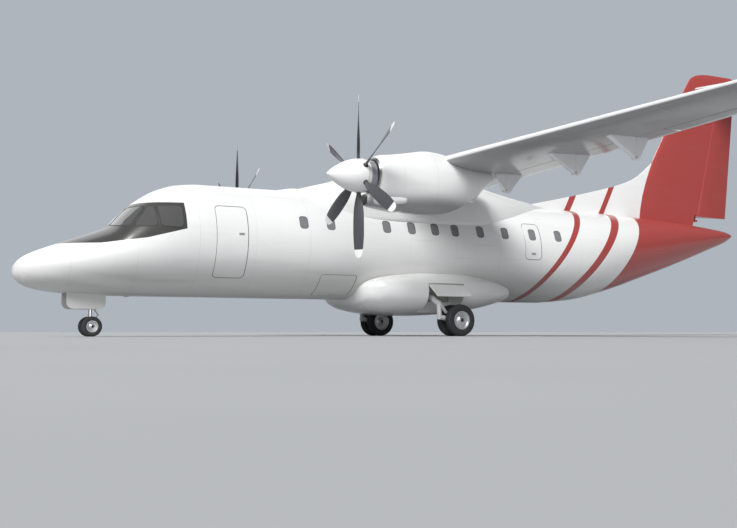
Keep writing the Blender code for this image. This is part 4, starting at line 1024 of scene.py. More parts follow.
def blocks(pairs):
    return gather(*(block(low, high) for low, high in pairs))


MAIN_BAY = (3.20, 4.33)
pod_stations = steps(1.60, 1.72, 4) + steps(1.78, 2.3, 6) + steps(2.4, 6.2, 30) + steps(6.25, 6.60, 6)
pod = loft([pod_ring(s) for s in pod_stations])
for side, mark in SIDES:
    inner, outer = sorted((side * 1.30, side * 2.6))
    pod = carve(pod, block((inner, MAIN_BAY[0], -3.6), (outer, MAIN_BAY[1], -2.46), 0.04))
piece("gear_fairing_skin", pod, plain_paint, "airframe", ["gear_fairing"], 28)
hump = loft([hump_ring(s) for s in steps(-0.60, 8.60, 62)])
piece("wing_fairing_skin", hump, plain_paint, "airframe", ["wing_fairing"])

inner, outer, low, high = 1.302, 1.86, -2.95, -2.47
near, far = MAIN_BAY[0] + 0.004, MAIN_BAY[1] - 0.004
walls = [((inner, near, low), (inner + 0.008, far, high)), ((inner, near, high - 0.008), (outer, far, high))]
for station in (3.28, 3.62, 3.98, 4.24):
    walls.append(((inner, station, high - 0.05), (outer, station + 0.02, high)))
    walls.append(((inner, station, low), (inner + 0.03, station + 0.02, high)))
piece("main_bay_ribs", gather(blocks(walls), mirrored(blocks(walls))), primer)
ribs = [((-0.254, s, -2.40), (0.254, s + 0.015, -2.356)) for s in (-6.0, -5.7, -5.3)]
ribs += [((x, -6.11, -2.80), (x + 0.012, -5.13, -2.356)) for x in (-0.256, 0.244)]
piece("nose_bay_ribs", blocks(ribs), primer)
pads = [bar([at(x, s, top), at(x, s, foot)], 0.06, 32) for x, s, top, foot in (
    (0.0, -4.55, -2.86, -2.8995), (0.95, 4.90, -3.15, -3.2795), (-0.95, 4.90, -3.15, -3.2795))]
piece("jacking_pads", gather(*pads), bare_steel)

# %% [markdown]
# The wing is a straight taper with a 15 per cent section. Its sections follow the formula of a classic
# thick aerofoil, so a ring is worked out, not traced: half thickness and camber as parts of the chord,
# closer together near the nose where the curve is tight.

# %% Wing form
HINGE_CHORD, FIXED_CHORD = 0.73, 0.725  # the parts of the chord at the flap's front and the fixed wing's end
SEMI_SPAN, WING_THICKNESS = 13.75, 0.15
FAIRING_SPANS = (2.00, NACELLE_X, 7.00, 9.20)
FAIRING_TAIL = 0.915  # the part of the chord at which the rear wedge ends
PIVOT_DROP = -0.155  # height of the flap pivots at the root
WEDGE_WIDTHS, WEDGE_REACHES = (0.15, 0.124), (0.68, 0.30)  # fixed and moving, outboard and by the nacelle


def wing_point(x, part, lift):
    front, rear = (pair[0] + pair[1] * abs(x) for pair in (WING_LE, WING_TE))
    height = ROOT_HEIGHT + ROOT_DROP * part + DIHEDRAL * abs(x)
    return at(x, front + (rear - front) * part, height + lift * (rear - front))


def chord_at(x):
    return WING_TE[0] - WING_LE[0] + (WING_TE[1] - WING_LE[1]) * abs(x)


def half_thickness(u, thickness):
    shape = 0.2969 * math.sqrt(u) - 0.1260 * u - 0.3516 * u**2 + 0.2843 * u**3 - 0.1015 * u**4
    return 5 * thickness * shape


def wing_lift(u, sign, thin=1.0):
    return CAMBER * u * (1 - u) + sign * thin * half_thickness(u, WING_THICKNESS)


def close_parts(last, count):
    """Chord parts from 0 to the last, packed near the front."""
    return [last * (1 - math.cos(math.pi / 2 * k / count)) for k in range(count + 1)]


def round_front(last, count=20):
    """(part, sign) pairs along the one side of a section to its front and back along the other."""
    parts = close_parts(last, count)
    return [(u, 1) for u in reversed(parts)] + [(u, -1) for u in parts[1:]]


def wing_ring(x, last, thin=1.0, front=0.0):
    pairs = round_front(last)
    return [wing_point(x, front + u * (1 - front), wing_lift(u, sign, thin)) for u, sign in pairs]


def pivot_point(x):
    return at(x, wing_point(x, HINGE_CHORD, 0).y + ORIGIN_STATION, DIHEDRAL * abs(x) + PIVOT_DROP)


def pivot_axis(side):
    return (pivot_point(side * 10.0) - pivot_point(side * 1.0)).normalized()


def wedge(side, x, moving):
    """Half of a flap track fairing, with its edges cut back a little."""
    axis, pivot, chord = pivot_axis(side), pivot_point(side * x), chord_at(x)
    aft = Vector((0, 0, side)).cross(axis).normalized()
    up = axis.cross(aft) * side
    rise = wing_point(side * x, HINGE_CHORD, wing_lift(HINGE_CHORD, -1)).z - pivot.z
    inboard = x == NACELLE_X
    reach = WEDGE_REACHES[inboard]
    end = FAIRING_TAIL if moving else HINGE_CHORD - reach / chord
    tip = wing_point(side * x, end, wing_lift(end, -1)) - pivot
    if moving:
        outline = [(0.004, -0.013), (0.004, rise + 0.03), (tip.y, tip.z + 0.015)]
        outline.append((chord * 0.04, chord * -0.022))
    else:
        outline = [(-0.008, -0.012), (-0.008, rise + 0.03), (-reach, tip.z + 0.02)]
        outline.append((-reach, tip.z - (0.10 if inboard else 0.01)))
    middle = [sum(v[k] for v in outline) / 4 for k in (0, 1)]
    rings = []
    for share_out, share in ((-0.5, 0.97), (-0.47, 1.0), (0.47, 1.0), (0.5, 0.97)):
        ring = [[m + (v - m) * share for m, v in zip(middle, point)] for point in outline]
        centre = pivot + axis * WEDGE_WIDTHS[moving] * share_out
        rings.append([centre + aft * a + up * b for a, b in ring])
    return loft(rings)


def lugs(side, x):
    """The cheeks with a pin on which the rear wedge turns."""
    rows = [(0.0635, 0.03), (0.0645, 0.034), (0.077, 0.034), (0.079, 0.03), (0.079, 0.012), (0.083, 0.010)]
    return [turned(rows, pivot_point(side * x), pivot_axis(side) * way, 28) for way in (-1, 1)]


# %% Wing pieces
def wing_piece(name, shape, node, body="airframe"):
    piece(name, shape, wing_paint_and_shade, body, [node])


def wedges(name, places, moving=False, body="airframe"):
    piece(name, gather(*(wedge(side, x, moving) for side, x in places)), wedge_painted_light, body, sharp=20)


TIP_FORM = (
    # span, thickness, shrink of the chord from the front
    (13.1203, 1.0, 0.0),
    (13.47, 1.0, 0.0),
    (13.60, 0.92, 0.012),
    (13.67, 0.74, 0.04),
    (13.72, 0.50, 0.075),
    (SEMI_SPAN, 0.22, 0.12),
)
LENS = [(-0.07, 0), (-0.06, 0.022), (-0.03, 0.040), (0.0, 0.046), (0.04, 0.038), (0.07, 0.0)]
middle = loft([wing_ring(x, FIXED_CHORD) for x in (-4.5997, -2.3, 0.0, 2.3, 4.5997)])
wing_piece("wing_centre_skin", middle, "wing_centre")
wedges("flap_track_fairings_centre", [(side, x) for side, _ in SIDES for x in FAIRING_SPANS[:2]])
pins = [cheek for side, _ in SIDES for x in FAIRING_SPANS for cheek in lugs(side, x)]
piece("flap_pivot_lugs", gather(*pins), gear_paint)
for side, mark in SIDES:
    panel = loft([wing_ring(side * x, FIXED_CHORD) for x in steps(4.6003, 13.1197, 4)])
    wing_piece(f"wing_outer_skin_{mark}", panel, f"wing_outer_{mark}")
    wedges(f"flap_track_fairings_{mark}", [(side, x) for x in FAIRING_SPANS[2:]])
for side, mark in SIDES:
    spans = [13.1203, 13.3, *steps(13.47, SEMI_SPAN, 9)]
    rings = [wing_ring(side * x, 0.98, *form_at(TIP_FORM, x)) for x in spans]
    wing_piece(f"wing_tip_skin_{mark}", loft(rings), f"wing_tip_{mark}")
    lens = turned(LENS, wing_point(side * 13.58, 0.035, 0.006), (side, 0.15, 0), 24)
    piece(f"position_light_{mark}", lens, red_lens if side > 0 else green_lens)

# %% [markdown]
# Flaps and ailerons close the wing at the rear. A flap turns on pivots below the wing, so its front face
# is square to that line, and the wedges under it are split at the pivot, half fixed and half moving.

# %% Flaps and ailerons
def flap(side, inner, outer):
    axis, origin = pivot_axis(side), pivot_point(side * 1.0)
    rows = [(u, 1.0) for u in (HINGE_CHORD + 0.006, 0.78, 0.84, 0.90, 0.95, 0.985, 1.0)]
    rows.insert(0, (HINGE_CHORD, 0.86))
    outline = [(u, wing_lift(u, 1, thin)) for u, thin in rows]
    outline += [(u, wing_lift(u, -1, thin)) for u, thin in reversed(rows)]
    rings = []
    for x in steps(inner, outer, 3):
        reach = (pivot_point(side * x) - origin).dot(axis)
        ring = []
        for u, lift in outline:
            a, b = wing_point(side * 1.0, u, lift), wing_point(side * 12.0, u, lift)
            ring.append(a + (b - a) * ((reach - (a - origin).dot(axis)) / (b - a).dot(axis)))
        rings.append(ring)
    return loft(rings)


def round_nose(point, radius, aft, up):
    turns = steps(0.0, math.pi, 10)
    return [point - aft * radius * math.sin(t) + up * radius * math.cos(t) for t in turns]


def aileron(side):
    part, lift = HINGE_CHORD + 0.045, (wing_lift(HINGE_CHORD, 1) + wing_lift(HINGE_CHORD, -1)) / 2
    root, tip = (wing_point(side * x, part, lift * 0.94) for x in (10.20, 13.10))
    axis = (tip - root).normalized()
    aft = (Vector((0, 1, 0)) - axis * axis.y).normalized()
    rings = []
    for place in steps(0.0084, (tip - root).length - 0.0084, 4):
        centre = root + axis * place
        radius = half_thickness(part, WING_THICKNESS) * chord_at(centre.x)
        ring = round_nose(centre, radius, aft, Vector((0, 0, 1)))
        low, high = (wing_point(centre.x, 1.0, wing_lift(1.0, sign)) for sign in (-1, 1))
        rings.append([*ring, (ring[-1] + low) / 2, low, high, (high + ring[0]) / 2])
    return gather(loft(rings), bar([tip - axis * 0.05, tip + axis * 0.012], 0.018, 16))


for side, mark in SIDES:
    body = f"flaps_{mark}"
    for name, inner, outer in (("flap_inboard", 1.42, 3.83), ("flap_outboard", 3.836, 10.125)):
        wing_piece(f"{name}_skin_{mark}", flap(side, inner, outer), f"{name}_{mark}", body)
    wedges(f"flap_fairing_tails_{mark}", [(side, x) for x in FAIRING_SPANS], True, body)
    wing_piece(f"aileron_skin_{mark}", aileron(side), f"aileron_{mark}", f"aileron_{mark}")

# %% [markdown]
# Each nacelle is a smooth cowl whose belly holds a wide intake, with an exhaust blister on its outboard
# side. It narrows to a point under the wing. The cowl and its chin are joined first, and then the intake
# duct and the round mouth behind the spinner are cut.

# %% Nacelles
NACELLE_FORM = (
    # station, top, bottom, half width, waist
    (0.36, 0.432, -0.45, 0.432, 0.0),
    (0.375, 0.462, -0.49, 0.458, -0.01),
    (0.40, 0.485, -0.53, 0.476, -0.01),
    (0.52, 0.535, -0.63, 0.515, -0.03),
    (0.80, 0.572, -0.74, 0.532, -0.06),
    (1.30, 0.65, -0.85, 0.55, -0.10),
    (1.90, 0.74, -0.88, 0.56, -0.10),
    (2.35, 0.70, -0.83, 0.54, -0.06),
    (2.80, 0.55, -0.68, 0.47, 0.0),
    (3.30, 0.42, -0.38, 0.33, 0.08),
    (3.75, 0.36, -0.03, 0.15, 0.18),
    (3.95, 0.30, 0.12, 0.05, 0.21),
)
CHIN_FORM = (
    # station, half width, top, bottom
    (0.13, 0.235, -0.46, -0.665),
    (0.145, 0.255, -0.445, -0.685),
    (0.18, 0.265, -0.43, -0.705),
    (0.32, 0.270, -0.42, -0.745),
    (0.60, 0.270, -0.40, -0.795),
    (1.00, 0.255, -0.40, -0.835),
    (1.25, 0.21, -0.40, -0.80),
    (1.42, 0.12, -0.40, -0.72),
)
LIP_FORM = (
    # station, top, bottom, half width, round the bare front edge of the cowl
    (0.385, 0.4195, -0.4195, 0.4195),
    (0.352, 0.4195, -0.4195, 0.4195),
    (0.345, 0.425, -0.431, 0.425),
    (0.352, 0.437, -0.450, 0.436),
    (0.366, 0.450, -0.473, 0.448),
    (0.388, 0.478, -0.515, 0.472),
)
DUCT_FORM = (
    # station, half width, top, bottom
    (0.05, 0.19, -0.475, -0.66),
    (0.24, 0.19, -0.475, -0.725),
    (0.70, 0.19, -0.475, -0.68),
)
MOUTH = [(0.10, 0.0), (0.10, 0.425), (0.362, 0.425), (0.39, 0.41), (2.12, 0.41), (2.12, 0.0)]
BLISTER = [(0.0, 0.02), (0.02, 0.05), (0.07, 0.085), (0.16, 0.10), (0.62, 0.10), (0.80, 0.088),
           (0.868, 0.070), (0.874, 0.064), (0.868, 0.058), (0.80, 0.070), (0.72, 0.074), (0.70, 0.0)]
BLISTER_LINING = [(0.705, 0.0), (0.705, 0.0735), (0.79, 0.0695), (0.862, 0.0575), (0.862, 0.0545),
                  (0.79, 0.066), (0.715, 0.069), (0.715, 0.0)]


def cowl_ring(station, x):
    return oval(station, x, *form_at(NACELLE_FORM, station))


def chin_ring(station, x, form=CHIN_FORM):
    half, top, bottom = form_at(form, station)
    return oval(station, x, top, bottom, half, (top + bottom) / 2, 40, 3.4)


def nacelle(x):
    cowl = loft([cowl_ring(s, x) for s in steps(0.36, 0.52, 8) + steps(0.56, 3.95, 44)])
    chin = loft([chin_ring(s, x) for s in steps(0.13, 0.20, 5) + steps(0.26, 1.42, 14)])
    duct = loft([chin_ring(s, x, DUCT_FORM) for s, *_ in DUCT_FORM])
    cowl = carve(cowl, chin, "UNION")
    return carve(carve(cowl, duct), turned(MOUTH, at(x, 0, 0), (0, 1, 0), 72))


for side, mark in SIDES:
    x, node = side * NACELLE_X, f"nacelle_{mark}"
    piece(f"nacelle_skin_{mark}", nacelle(x), nacelle_paint_and_shade, "airframe", [node], 30)
    front, rear = at(x + side * 0.24, 0.26, -0.62), at(x + side * 0.38, 1.14, -0.57)
    piece(f"exhaust_blister_{mark}", turned(BLISTER, front, rear - front, 40), plain_paint)
    piece(f"exhaust_lining_{mark}", turned(BLISTER_LINING, front, rear - front, 40), scorched)
    lip = loft([oval(s, x, top, low, half, 0.0) for s, top, low, half in LIP_FORM], True)
    piece(f"cowl_lip_{mark}", lip, bare_steel)
    wires = [bar([at(x + a, 0.55, -0.49), at(x + a, 0.55, -0.70)], 0.004, 8) for a in steps(-0.17, 0.17, 12)]
    piece(f"intake_screen_{mark}", gather(*wires), bare_steel)

# %% [markdown]
# A propeller has six blades of dark composite with pale tips, on a white spinner. One blade is worked
# out from a table of chord, thickness and twist, and the copies tree turns it round the hub, because the
# whole propeller follows that one rule.

# %% Propellers
BLADE_FORM = (
    # radius, chord, thickness, twist in degrees from the plane of rotation
    (0.36, 0.10, 0.090, 58.0),
    (0.55, 0.16, 0.060, 52.0),
    (0.95, 0.27, 0.036, 41.0),
    (1.45, 0.30, 0.024, 31.0),
    (1.82, 0.25, 0.015, 26.0),
    (1.94, 0.19, 0.012, 24.6),
    (1.985, 0.11, 0.009, 24.1),
    (1.998, 0.04, 0.006, 24.0),
)
SHANK_RADIUS, SHANK_END, BLEND = 0.045, 0.36, 0.22  # the round root, and where it turns into the blade
SECTION_STEPS = 9
CUFF = [(0.375, 0.0), (0.375, 0.070), (0.423, 0.064), (0.427, 0.056), (0.42, 0.050), (0.42, 0.0)]
BLADES = 6
SPINNER_TIP, SPINNER_EDGE, SPINNER_RADIUS = -0.876, 0.05, 0.42


def blade_section():
    """A thin cambered section round which the blade is lofted, in parts of chord and thickness."""
    parts = close_parts(1.0, SECTION_STEPS)
    upper = [(u - 0.5, 3.6 * math.sqrt(u) * (1 - u) * 0.36 + 0.06) for u in parts]
    lower = [(u - 0.5, -0.9 * math.sqrt(u) * (1 - u) * 0.5) for u in parts]
    return upper + lower[1:-1][::-1]


def blade():
    """One blade along +Z about a hub at the origin, its leading edge towards +X."""
    rings = []
    for radius in steps(0.36, 0.9, 8) + steps(1.0, 1.8, 8) + steps(1.85, 1.998, 7):
        chord, thickness, twist = form_at(BLADE_FORM, radius)
        turn = math.radians(twist)
        along = Vector((math.cos(turn), -math.sin(turn), 0))
        over = Vector((-math.sin(turn), -math.cos(turn), 0))
        root = 1 - min(1.0, max(0.0, (radius - SHANK_END) / BLEND))
        ring = []
        for k, (a, b) in enumerate(blade_section()):
            angle = math.pi * (1 - k / SECTION_STEPS)
            flat = over * b * thickness - along * a * chord
            shank = (over * math.sin(angle) - along * math.cos(angle)) * SHANK_RADIUS
            ring.append(flat * (1 - root) + shank * root + Vector((0, 0, radius)))
        rings.append(ring)
    return loft(rings)


def spinner(hub):
    rows = [(SPINNER_TIP, 0.0)]
    for u in steps(0.015, 1.0, 26):
        place = SPINNER_TIP + u * (SPINNER_EDGE - SPINNER_TIP)
        rows.append((place, SPINNER_RADIUS * math.sin(u * math.pi / 2) ** 0.8))
    rows += [(0.052, 0.414), (0.058, 0.414), (0.060, 0.420), (0.10, 0.404), (0.32, 0.394), (0.33, 0.385)]
    return turned([*rows, (0.33, 0.0)], hub, (0, 1, 0), 72)


turns = [2 * math.pi * k / BLADES for k in range(BLADES)]
for side, mark in SIDES:
    hub, body = at(side * NACELLE_X, 0, 0), f"propeller_{mark}"
    piece(f"spinner_{mark}", spinner(hub), spinner_paint_and_shade, body, [body])
    places = [(hub, Vector((0, turn, 0))) for turn in turns]
    blades = copies(f"blades_{mark}", blade(), places, blade_composite)
    dress(blades, blade_composite, body)
    cuffs = [turned(CUFF, hub, (math.sin(turn), 0, math.cos(turn)), 28) for turn in turns]
    piece(f"blade_cuffs_{mark}", gather(*cuffs), seal_rubber, body)
    shaft = bar([hub + Vector((0, 0.329, 0)), hub + Vector((0, 0.799, 0))], 0.088, 32)
    piece(f"propeller_shaft_{mark}", shaft, bare_steel, body)

# %% [markdown]
# The tail is a swept fin with a fillet ahead of it, a rudder hinged on a leaning axis, and a stabiliser
# through the top of the fin with two elevators. Upright sections are drawn by one function, rounded at
# the front and flat where the hinged surface begins.

# %% Fin and rudder
FIN_LE, FIN_HALF = (12.19, 0.5915), (0.185, -0.022)  # at height 0, and the change with the height
RUDDER_FOOT, RUDDER_HEAD = (15.28, 0.16), (16.44, 4.42)  # station and height of the hinge line's ends
RUDDER_TE, CAP_EDGE = (16.72, 17.25), 0.35  # stations of the rear edge, and the cap's width left there
CAP_FORM = (
    # height, front, rear, half width
    (4.5843, 14.902, 17.30, 0.11),
    (4.98, 15.186, 17.38, 0.09),
    (5.08, 15.36, 17.34, 0.072),
    (5.16, 15.62, 17.24, 0.045),
    (5.20, 15.95, 17.10, 0.02),
)
DORSAL_FORM = (
    # station, height of the top
    (8.30, 0.20),
    (9.42, 0.44),
    (10.81, 0.76),
    (11.90, 1.05),
    (12.50, 1.28),
    (12.90, 1.54),
    (13.30, 1.86),
)
DORSAL_FOOT = -0.5


def upright(height, front, rear, half, last=1.0):
    """A section of a fin from its rear on the port side round the front to the starboard side."""
    ring = []
    for u, side in round_front(1.0, 16):
        width = half * (min(1.0, 1.75 * math.sqrt(u) - 0.78 * u) if u > 0 else 0.0)
        taper = 1.0 if u < 0.8 else 1.0 - (1.0 - last) * (u - 0.8) / 0.2
        ring.append(at(side * width * taper, front + (rear - front) * u, height))
    return ring


def rudder_axis_at(height):
    run = (RUDDER_HEAD[0] - RUDDER_FOOT[0]) / (RUDDER_HEAD[1] - RUDDER_FOOT[1])
    return RUDDER_FOOT[0] + run * (height - RUDDER_FOOT[1])


def fin_half(height):
    return FIN_HALF[0] + FIN_HALF[1] * height


def fin_ring(height):
    half = fin_half(height)
    return upright(height, FIN_LE[0] + FIN_LE[1] * height, rudder_axis_at(height) - half - 0.02, half)


def fin_shroud(side):
    """The thin edge of the fin's skin that reaches back over the rounded nose of the rudder."""
    rings = []
    for height in steps(0.20, 4.40, 6):
        half, axis = fin_half(height), rudder_axis_at(height)
        inner, outer, front, rear = 0.97 * half - 0.004, 0.97 * half, axis - half - 0.03, axis - half * 0.5
        section = ((inner, front), (inner, rear), (outer, rear), (outer, front))
        rings.append([at(side * x, s, height) for x, s in section])
    return loft(rings)


def dorsal_ring(station):
    half = 0.03 + 0.10 * min(1.0, (station - 8.3) / 3.5)
    rise = form_at(DORSAL_FORM, station)[0] - DORSAL_FOOT
    profile = [(half * (1 - v) ** 0.8 + 0.018 * v, DORSAL_FOOT + rise * v) for v in steps(0.0, 1.0, 10)]
    profile.append((0.009, DORSAL_FOOT + rise + 0.010))
    return [at(x, station, z) for x, z in profile] + [at(-x, station, z) for x, z in reversed(profile)]


seat = block((-0.06, 14.78, -0.01), (0.06, 15.34, 0.0597), 0.01)
fin = gather(loft([fin_ring(h) for h in steps(-0.60, 4.5837, 6)]), seat, fin_shroud(1), fin_shroud(-1))
piece("fin_skin", fin, red_paint, "airframe", ["fin"])
rings = []
for height in steps(4.5843, 4.98, 3) + steps(5.02, 5.20, 7):
    rings.append(upright(height, *form_at(CAP_FORM, height), CAP_EDGE))
piece("fin_cap_skin", loft(rings), red_paint, "airframe", ["fin_cap"])
dorsal = loft([dorsal_ring(station) for station in steps(8.31, 13.30, 34)])
piece("dorsal_fin_skin", dorsal, dorsal_paint, "airframe", ["dorsal_fin"])


def rudder():
    rings = []
    for f in steps(0.0, 1.0, 6):
        height = RUDDER_FOOT[1] + (RUDDER_HEAD[1] - RUDDER_FOOT[1]) * f
        rear = RUDDER_TE[0] + (RUDDER_TE[1] - RUDDER_TE[0]) * f
        station, half = rudder_axis_at(height), fin_half(height)
        belly, edge = (half * 0.52, (station + rear) / 2), (0.008, rear - 0.004)
        ring = [(half * math.cos(t), station - half * math.sin(t)) for t in steps(0.0, math.pi, 12)]
        ring += [(-belly[0], belly[1]), (-edge[0], edge[1]), edge, belly]
        rings.append([at(x, s, height) for x, s in ring])
    foot, head = at(0, *RUDDER_FOOT), at(0, *RUDDER_HEAD)
    axis = (head - foot).normalized()
    return gather(loft(rings), bar([foot + axis * 0.1, foot - axis * 0.095], 0.03, 20))


piece("rudder_skin", rudder(), red_paint, "rudder", ["rudder"])

# %% Stabiliser and elevators
STAB_LE, STAB_TE, ELEVATOR_HINGE, STAB_SPAN, STAB_THICKNESS = (15.33, 1.29), 17.82, 17.12, 4.75, 0.11
TAIL_LIGHT = [(0.0, 0.0), (0.0, 0.030), (0.02, 0.028), (0.04, 0.018), (0.048, 0.0)]


def stab_front(x):
    return STAB_LE[0] + STAB_LE[1] * abs(x) / STAB_SPAN


def stab_ring(x, tip):
    front = stab_front(x)
    chord = STAB_TE - front
    pairs = round_front((ELEVATOR_HINGE - 0.09 - front) / chord, 14)
    rises = [sign * tip * half_thickness(u, STAB_THICKNESS) * chord for u, sign in pairs]
    return [at(x, front + chord * u, STAB_HEIGHT + rise) for (u, _), rise in zip(pairs, rises)]


def elevator_ring(x):
    chord = STAB_TE - stab_front(x)
    radius = half_thickness(1 - (STAB_TE - ELEVATOR_HINGE) / chord, STAB_THICKNESS) * chord
    ring = round_nose(at(x, ELEVATOR_HINGE, STAB_HEIGHT), radius, Vector((0, 1, 0)), Vector((0, 0, 1)))
    middle = (ELEVATOR_HINGE + STAB_TE) / 2
    rows = ((middle, -radius * 0.55), (STAB_TE, -0.006), (STAB_TE, 0.006), (middle, radius * 0.55))
    return ring + [at(x, station, STAB_HEIGHT + rise) for station, rise in rows]


spans = [(x, 1.0) for x in steps(0.0, 4.70, 4)] + [(4.735, 0.86), (STAB_SPAN, 0.6)]
rings = [stab_ring(-x, tip) for x, tip in reversed(spans)] + [stab_ring(x, tip) for x, tip in spans[1:]]
piece("stabiliser_skin", loft(rings), tail_paint_and_shade, "airframe", ["stabiliser"])
for side, mark in SIDES:
    surface = loft([elevator_ring(side * x) for x in steps(0.26, STAB_SPAN, 4)])
    pin = bar([at(side * x, ELEVATOR_HINGE, STAB_HEIGHT) for x in (0.1405, 0.31)], 0.02, 16)
    name = f"elevator_{mark}"
    piece(f"elevator_skin_{mark}", gather(surface, pin), tail_paint_and_shade, "elevators", [name])
piece("elevator_bearing", crossbar(at(0, ELEVATOR_HINGE, STAB_HEIGHT), 0.14, 0.028, 20), bare_steel)
piece("tail_light", turned(TAIL_LIGHT, at(0, 16.90, -0.44), (0, 1, 0), 24), lamp_glass)

# %% [markdown]
# A wheel is a tyre with shallow ribs on a two-part alloy rim held by tie bolts. The tyre is a turned
# profile with its grooves in it, and the bolts are one small cylinder repeated round a circle by its own
# node tree, whose inputs are the number, the circle and the size of a bolt.

# %% A tree for a circle of bolts
BOLTS, BOLT_IDS, nodes = instancer(
    "bolt_circle", (("Count", "Int"), ("Circle", "Float"), ("Bolt", "Float"), ("Height", "Float")),
    dict(circle="GeometryNodeMeshCircle", bolt="GeometryNodeMeshCylinder"),
    (("source", "Count", "circle", "Vertices"), ("source", "Circle", "circle", "Radius"),
     ("source", "Bolt", "bolt", "Radius"), ("source", "Height", "bolt", "Depth"),
     ("circle", 0, "place", "Points"), ("bolt", 0, "place", "Instance")))
nodes["bolt"].inputs["Vertices"].default_value = 6


def bolt_circle(count, circle_radius, bolt, height, centre, axis):
    """Points and faces of a circle of bolts, with their heads along an axis."""
    sizes = {"Count": count, "Circle": circle_radius, "Bolt": bolt, "Height": height}
    sizes["Finish"] = bare_steel.material
    holder = grown("bolts", bpy.data.meshes.new("bolts"), BOLTS, BOLT_IDS, sizes)
    turn = Vector((0, 0, 1)).rotation_difference(Vector(axis))
    points = [centre + turn @ v.co for v in holder.data.vertices]
    faces = [list(face.vertices) for face in holder.data.polygons]
    bpy.data.objects.remove(holder)
    return points, faces


print("bolt inputs:", list(BOLT_IDS))

# %% Wheels
RIM_SHARE = 0.56  # the rim's radius as a part of the tyre's
SIDEWALL = ((0.80, 0.0), (0.88, 0.10), (0.97, 0.30), (1.0, 0.45), (0.985, 0.60), (0.93, 0.76), (0.82, 0.89),
            (0.66, 0.965))
GROOVES = ((-0.44, 0.997), (-0.15, 1.0), (0.15, 1.0), (0.44, 0.997))  # parts of half width and of radius
GROOVE_DEPTH = 0.009
RIM_FORM = (
    # part of the half width, part of the rim's radius, what is added to the radius
    (-0.88, 0.62, 0.0),
    (-0.80, 0.80, 0.0),
    (-0.92, 1.0, -0.012),
    (-0.92, 1.0, 0.006),
    (-0.84, 1.0, 0.007),
    (-0.80, 1.0, -0.001),
    (0.80, 1.0, -0.001),
    (0.84, 1.0, 0.007),
    (0.92, 1.0, 0.006),
    (0.92, 1.0, -0.012),
    (0.72, 0.90, 0.0),
    (0.50, 0.80, 0.0),
    (0.46, 0.60, 0.0),
    (0.60, 0.46, 0.0),
    (0.86, 0.36, 0.0),
)


def tyre(centre, offset, radius, half):
    """A tyre whose tread has shallow ribs and whose sidewalls bulge."""
    rim = radius * RIM_SHARE
    outline = [(offset - half * a, rim + (radius - rim) * b) for a, b in SIDEWALL]
    for edge, share in GROOVES:
        middle, width, top = offset + half * edge, half * 0.035, radius * share
        outline += [(middle - width, top), (middle - width * 0.7, top - GROOVE_DEPTH)]
        outline += [(middle + width * 0.7, top - GROOVE_DEPTH), (middle + width, top)]
    outline += [(offset + half * a, rim + (radius - rim) * b) for a, b in reversed(SIDEWALL)]
    return turned(outline, centre, (1, 0, 0), 72, True)


def rim_half(centre, way, offset, radius, half, axle):
    """A wheel disc on one side, dished, with its bead seat under the tyre."""
    rim = radius * RIM_SHARE
    rows = [(half * a, rim * b + more) for a, b, more in RIM_FORM]
    rows = [(-half * 0.88, axle * 1.05), *rows, (half * 0.92, axle * 1.05)]
    return turned([(way * (offset + a), r) for a, r in rows], centre, (1, 0, 0), 60, True)


def wheels(name, centre, offset, radius, half, axle, body, nodes, bolts):
    for way, mark, node in ((1, "a", nodes[1]), (-1, "b", nodes[2])):
        shape = tyre(centre, way * offset, radius, half)
        piece(f"{name}_tyre_{mark}", shape, tyre_rubber, body, [node], 25)
    halves = [rim_half(centre, way, offset, radius, half, axle) for way in (1, -1)]
    piece(f"{name}_rims", gather(*halves), wheel_alloy, body, [nodes[0]], 30)
    rim, reach = radius * RIM_SHARE, offset + half * 0.97
    parts = [crossbar(centre, reach, axle, 32)]
    cap = [(reach - 0.022, 0.0), (reach - 0.022, axle * 1.5), (reach - 0.006, axle * 1.42)]
    cap += [(reach, axle * 1.1), (reach, 0.0)]
    for way in (1, -1):
        disc = centre + Vector((way * (offset + half * 0.50), 0, 0))
        parts.append(turned(cap, centre, (way, 0, 0), 32))
        parts.append(bolt_circle(bolts, rim * 0.70, rim * 0.045, half * 0.24, disc, (way, 0, 0)))
    piece(f"{name}_axle_and_bolts", gather(*parts), bare_steel, body)


NOSE_STATION, MAIN_STATION, MAIN_X = -5.45, 3.95, 2.20
NOSE_OFFSET, NOSE_RADIUS, NOSE_HALF = 0.165, 0.25, 0.08  # of a wheel from its leg, of a tyre, of its width
MAIN_OFFSET, MAIN_RADIUS, MAIN_HALF = 0.21, 0.43, 0.11
NOSE_CENTRE = at(0, NOSE_STATION, NOSE_RADIUS - AXIS_HEIGHT)
wheels("nose_wheel", NOSE_CENTRE, NOSE_OFFSET, NOSE_RADIUS, NOSE_HALF, 0.028, "nose_wheels",
       ("nose_wheel_hub", "nose_wheel_tyre_L", "nose_wheel_tyre_R"), 8)
for side, mark in SIDES:
    name = f"main_wheel_{mark}"
    centre = at(side * MAIN_X, MAIN_STATION, MAIN_RADIUS - AXIS_HEIGHT)
    outward = ("outer", "inner") if side > 0 else ("inner", "outer")
    nodes = (f"{name}_hub", *(f"{name}_tyre_{way}" for way in outward))
    wheels(name, centre, MAIN_OFFSET, MAIN_RADIUS, MAIN_HALF, 0.042, f"main_wheels_{mark}", nodes, 10)

# %% [markdown]
# The nose leg is an oil and air strut: a painted cylinder, a chrome piston below it that turns with the
# wheels, two torque links and a drag brace. The main legs swing out from the belly and carry each axle
# on a trailing arm, with a shock strut between the arm and the elbow.

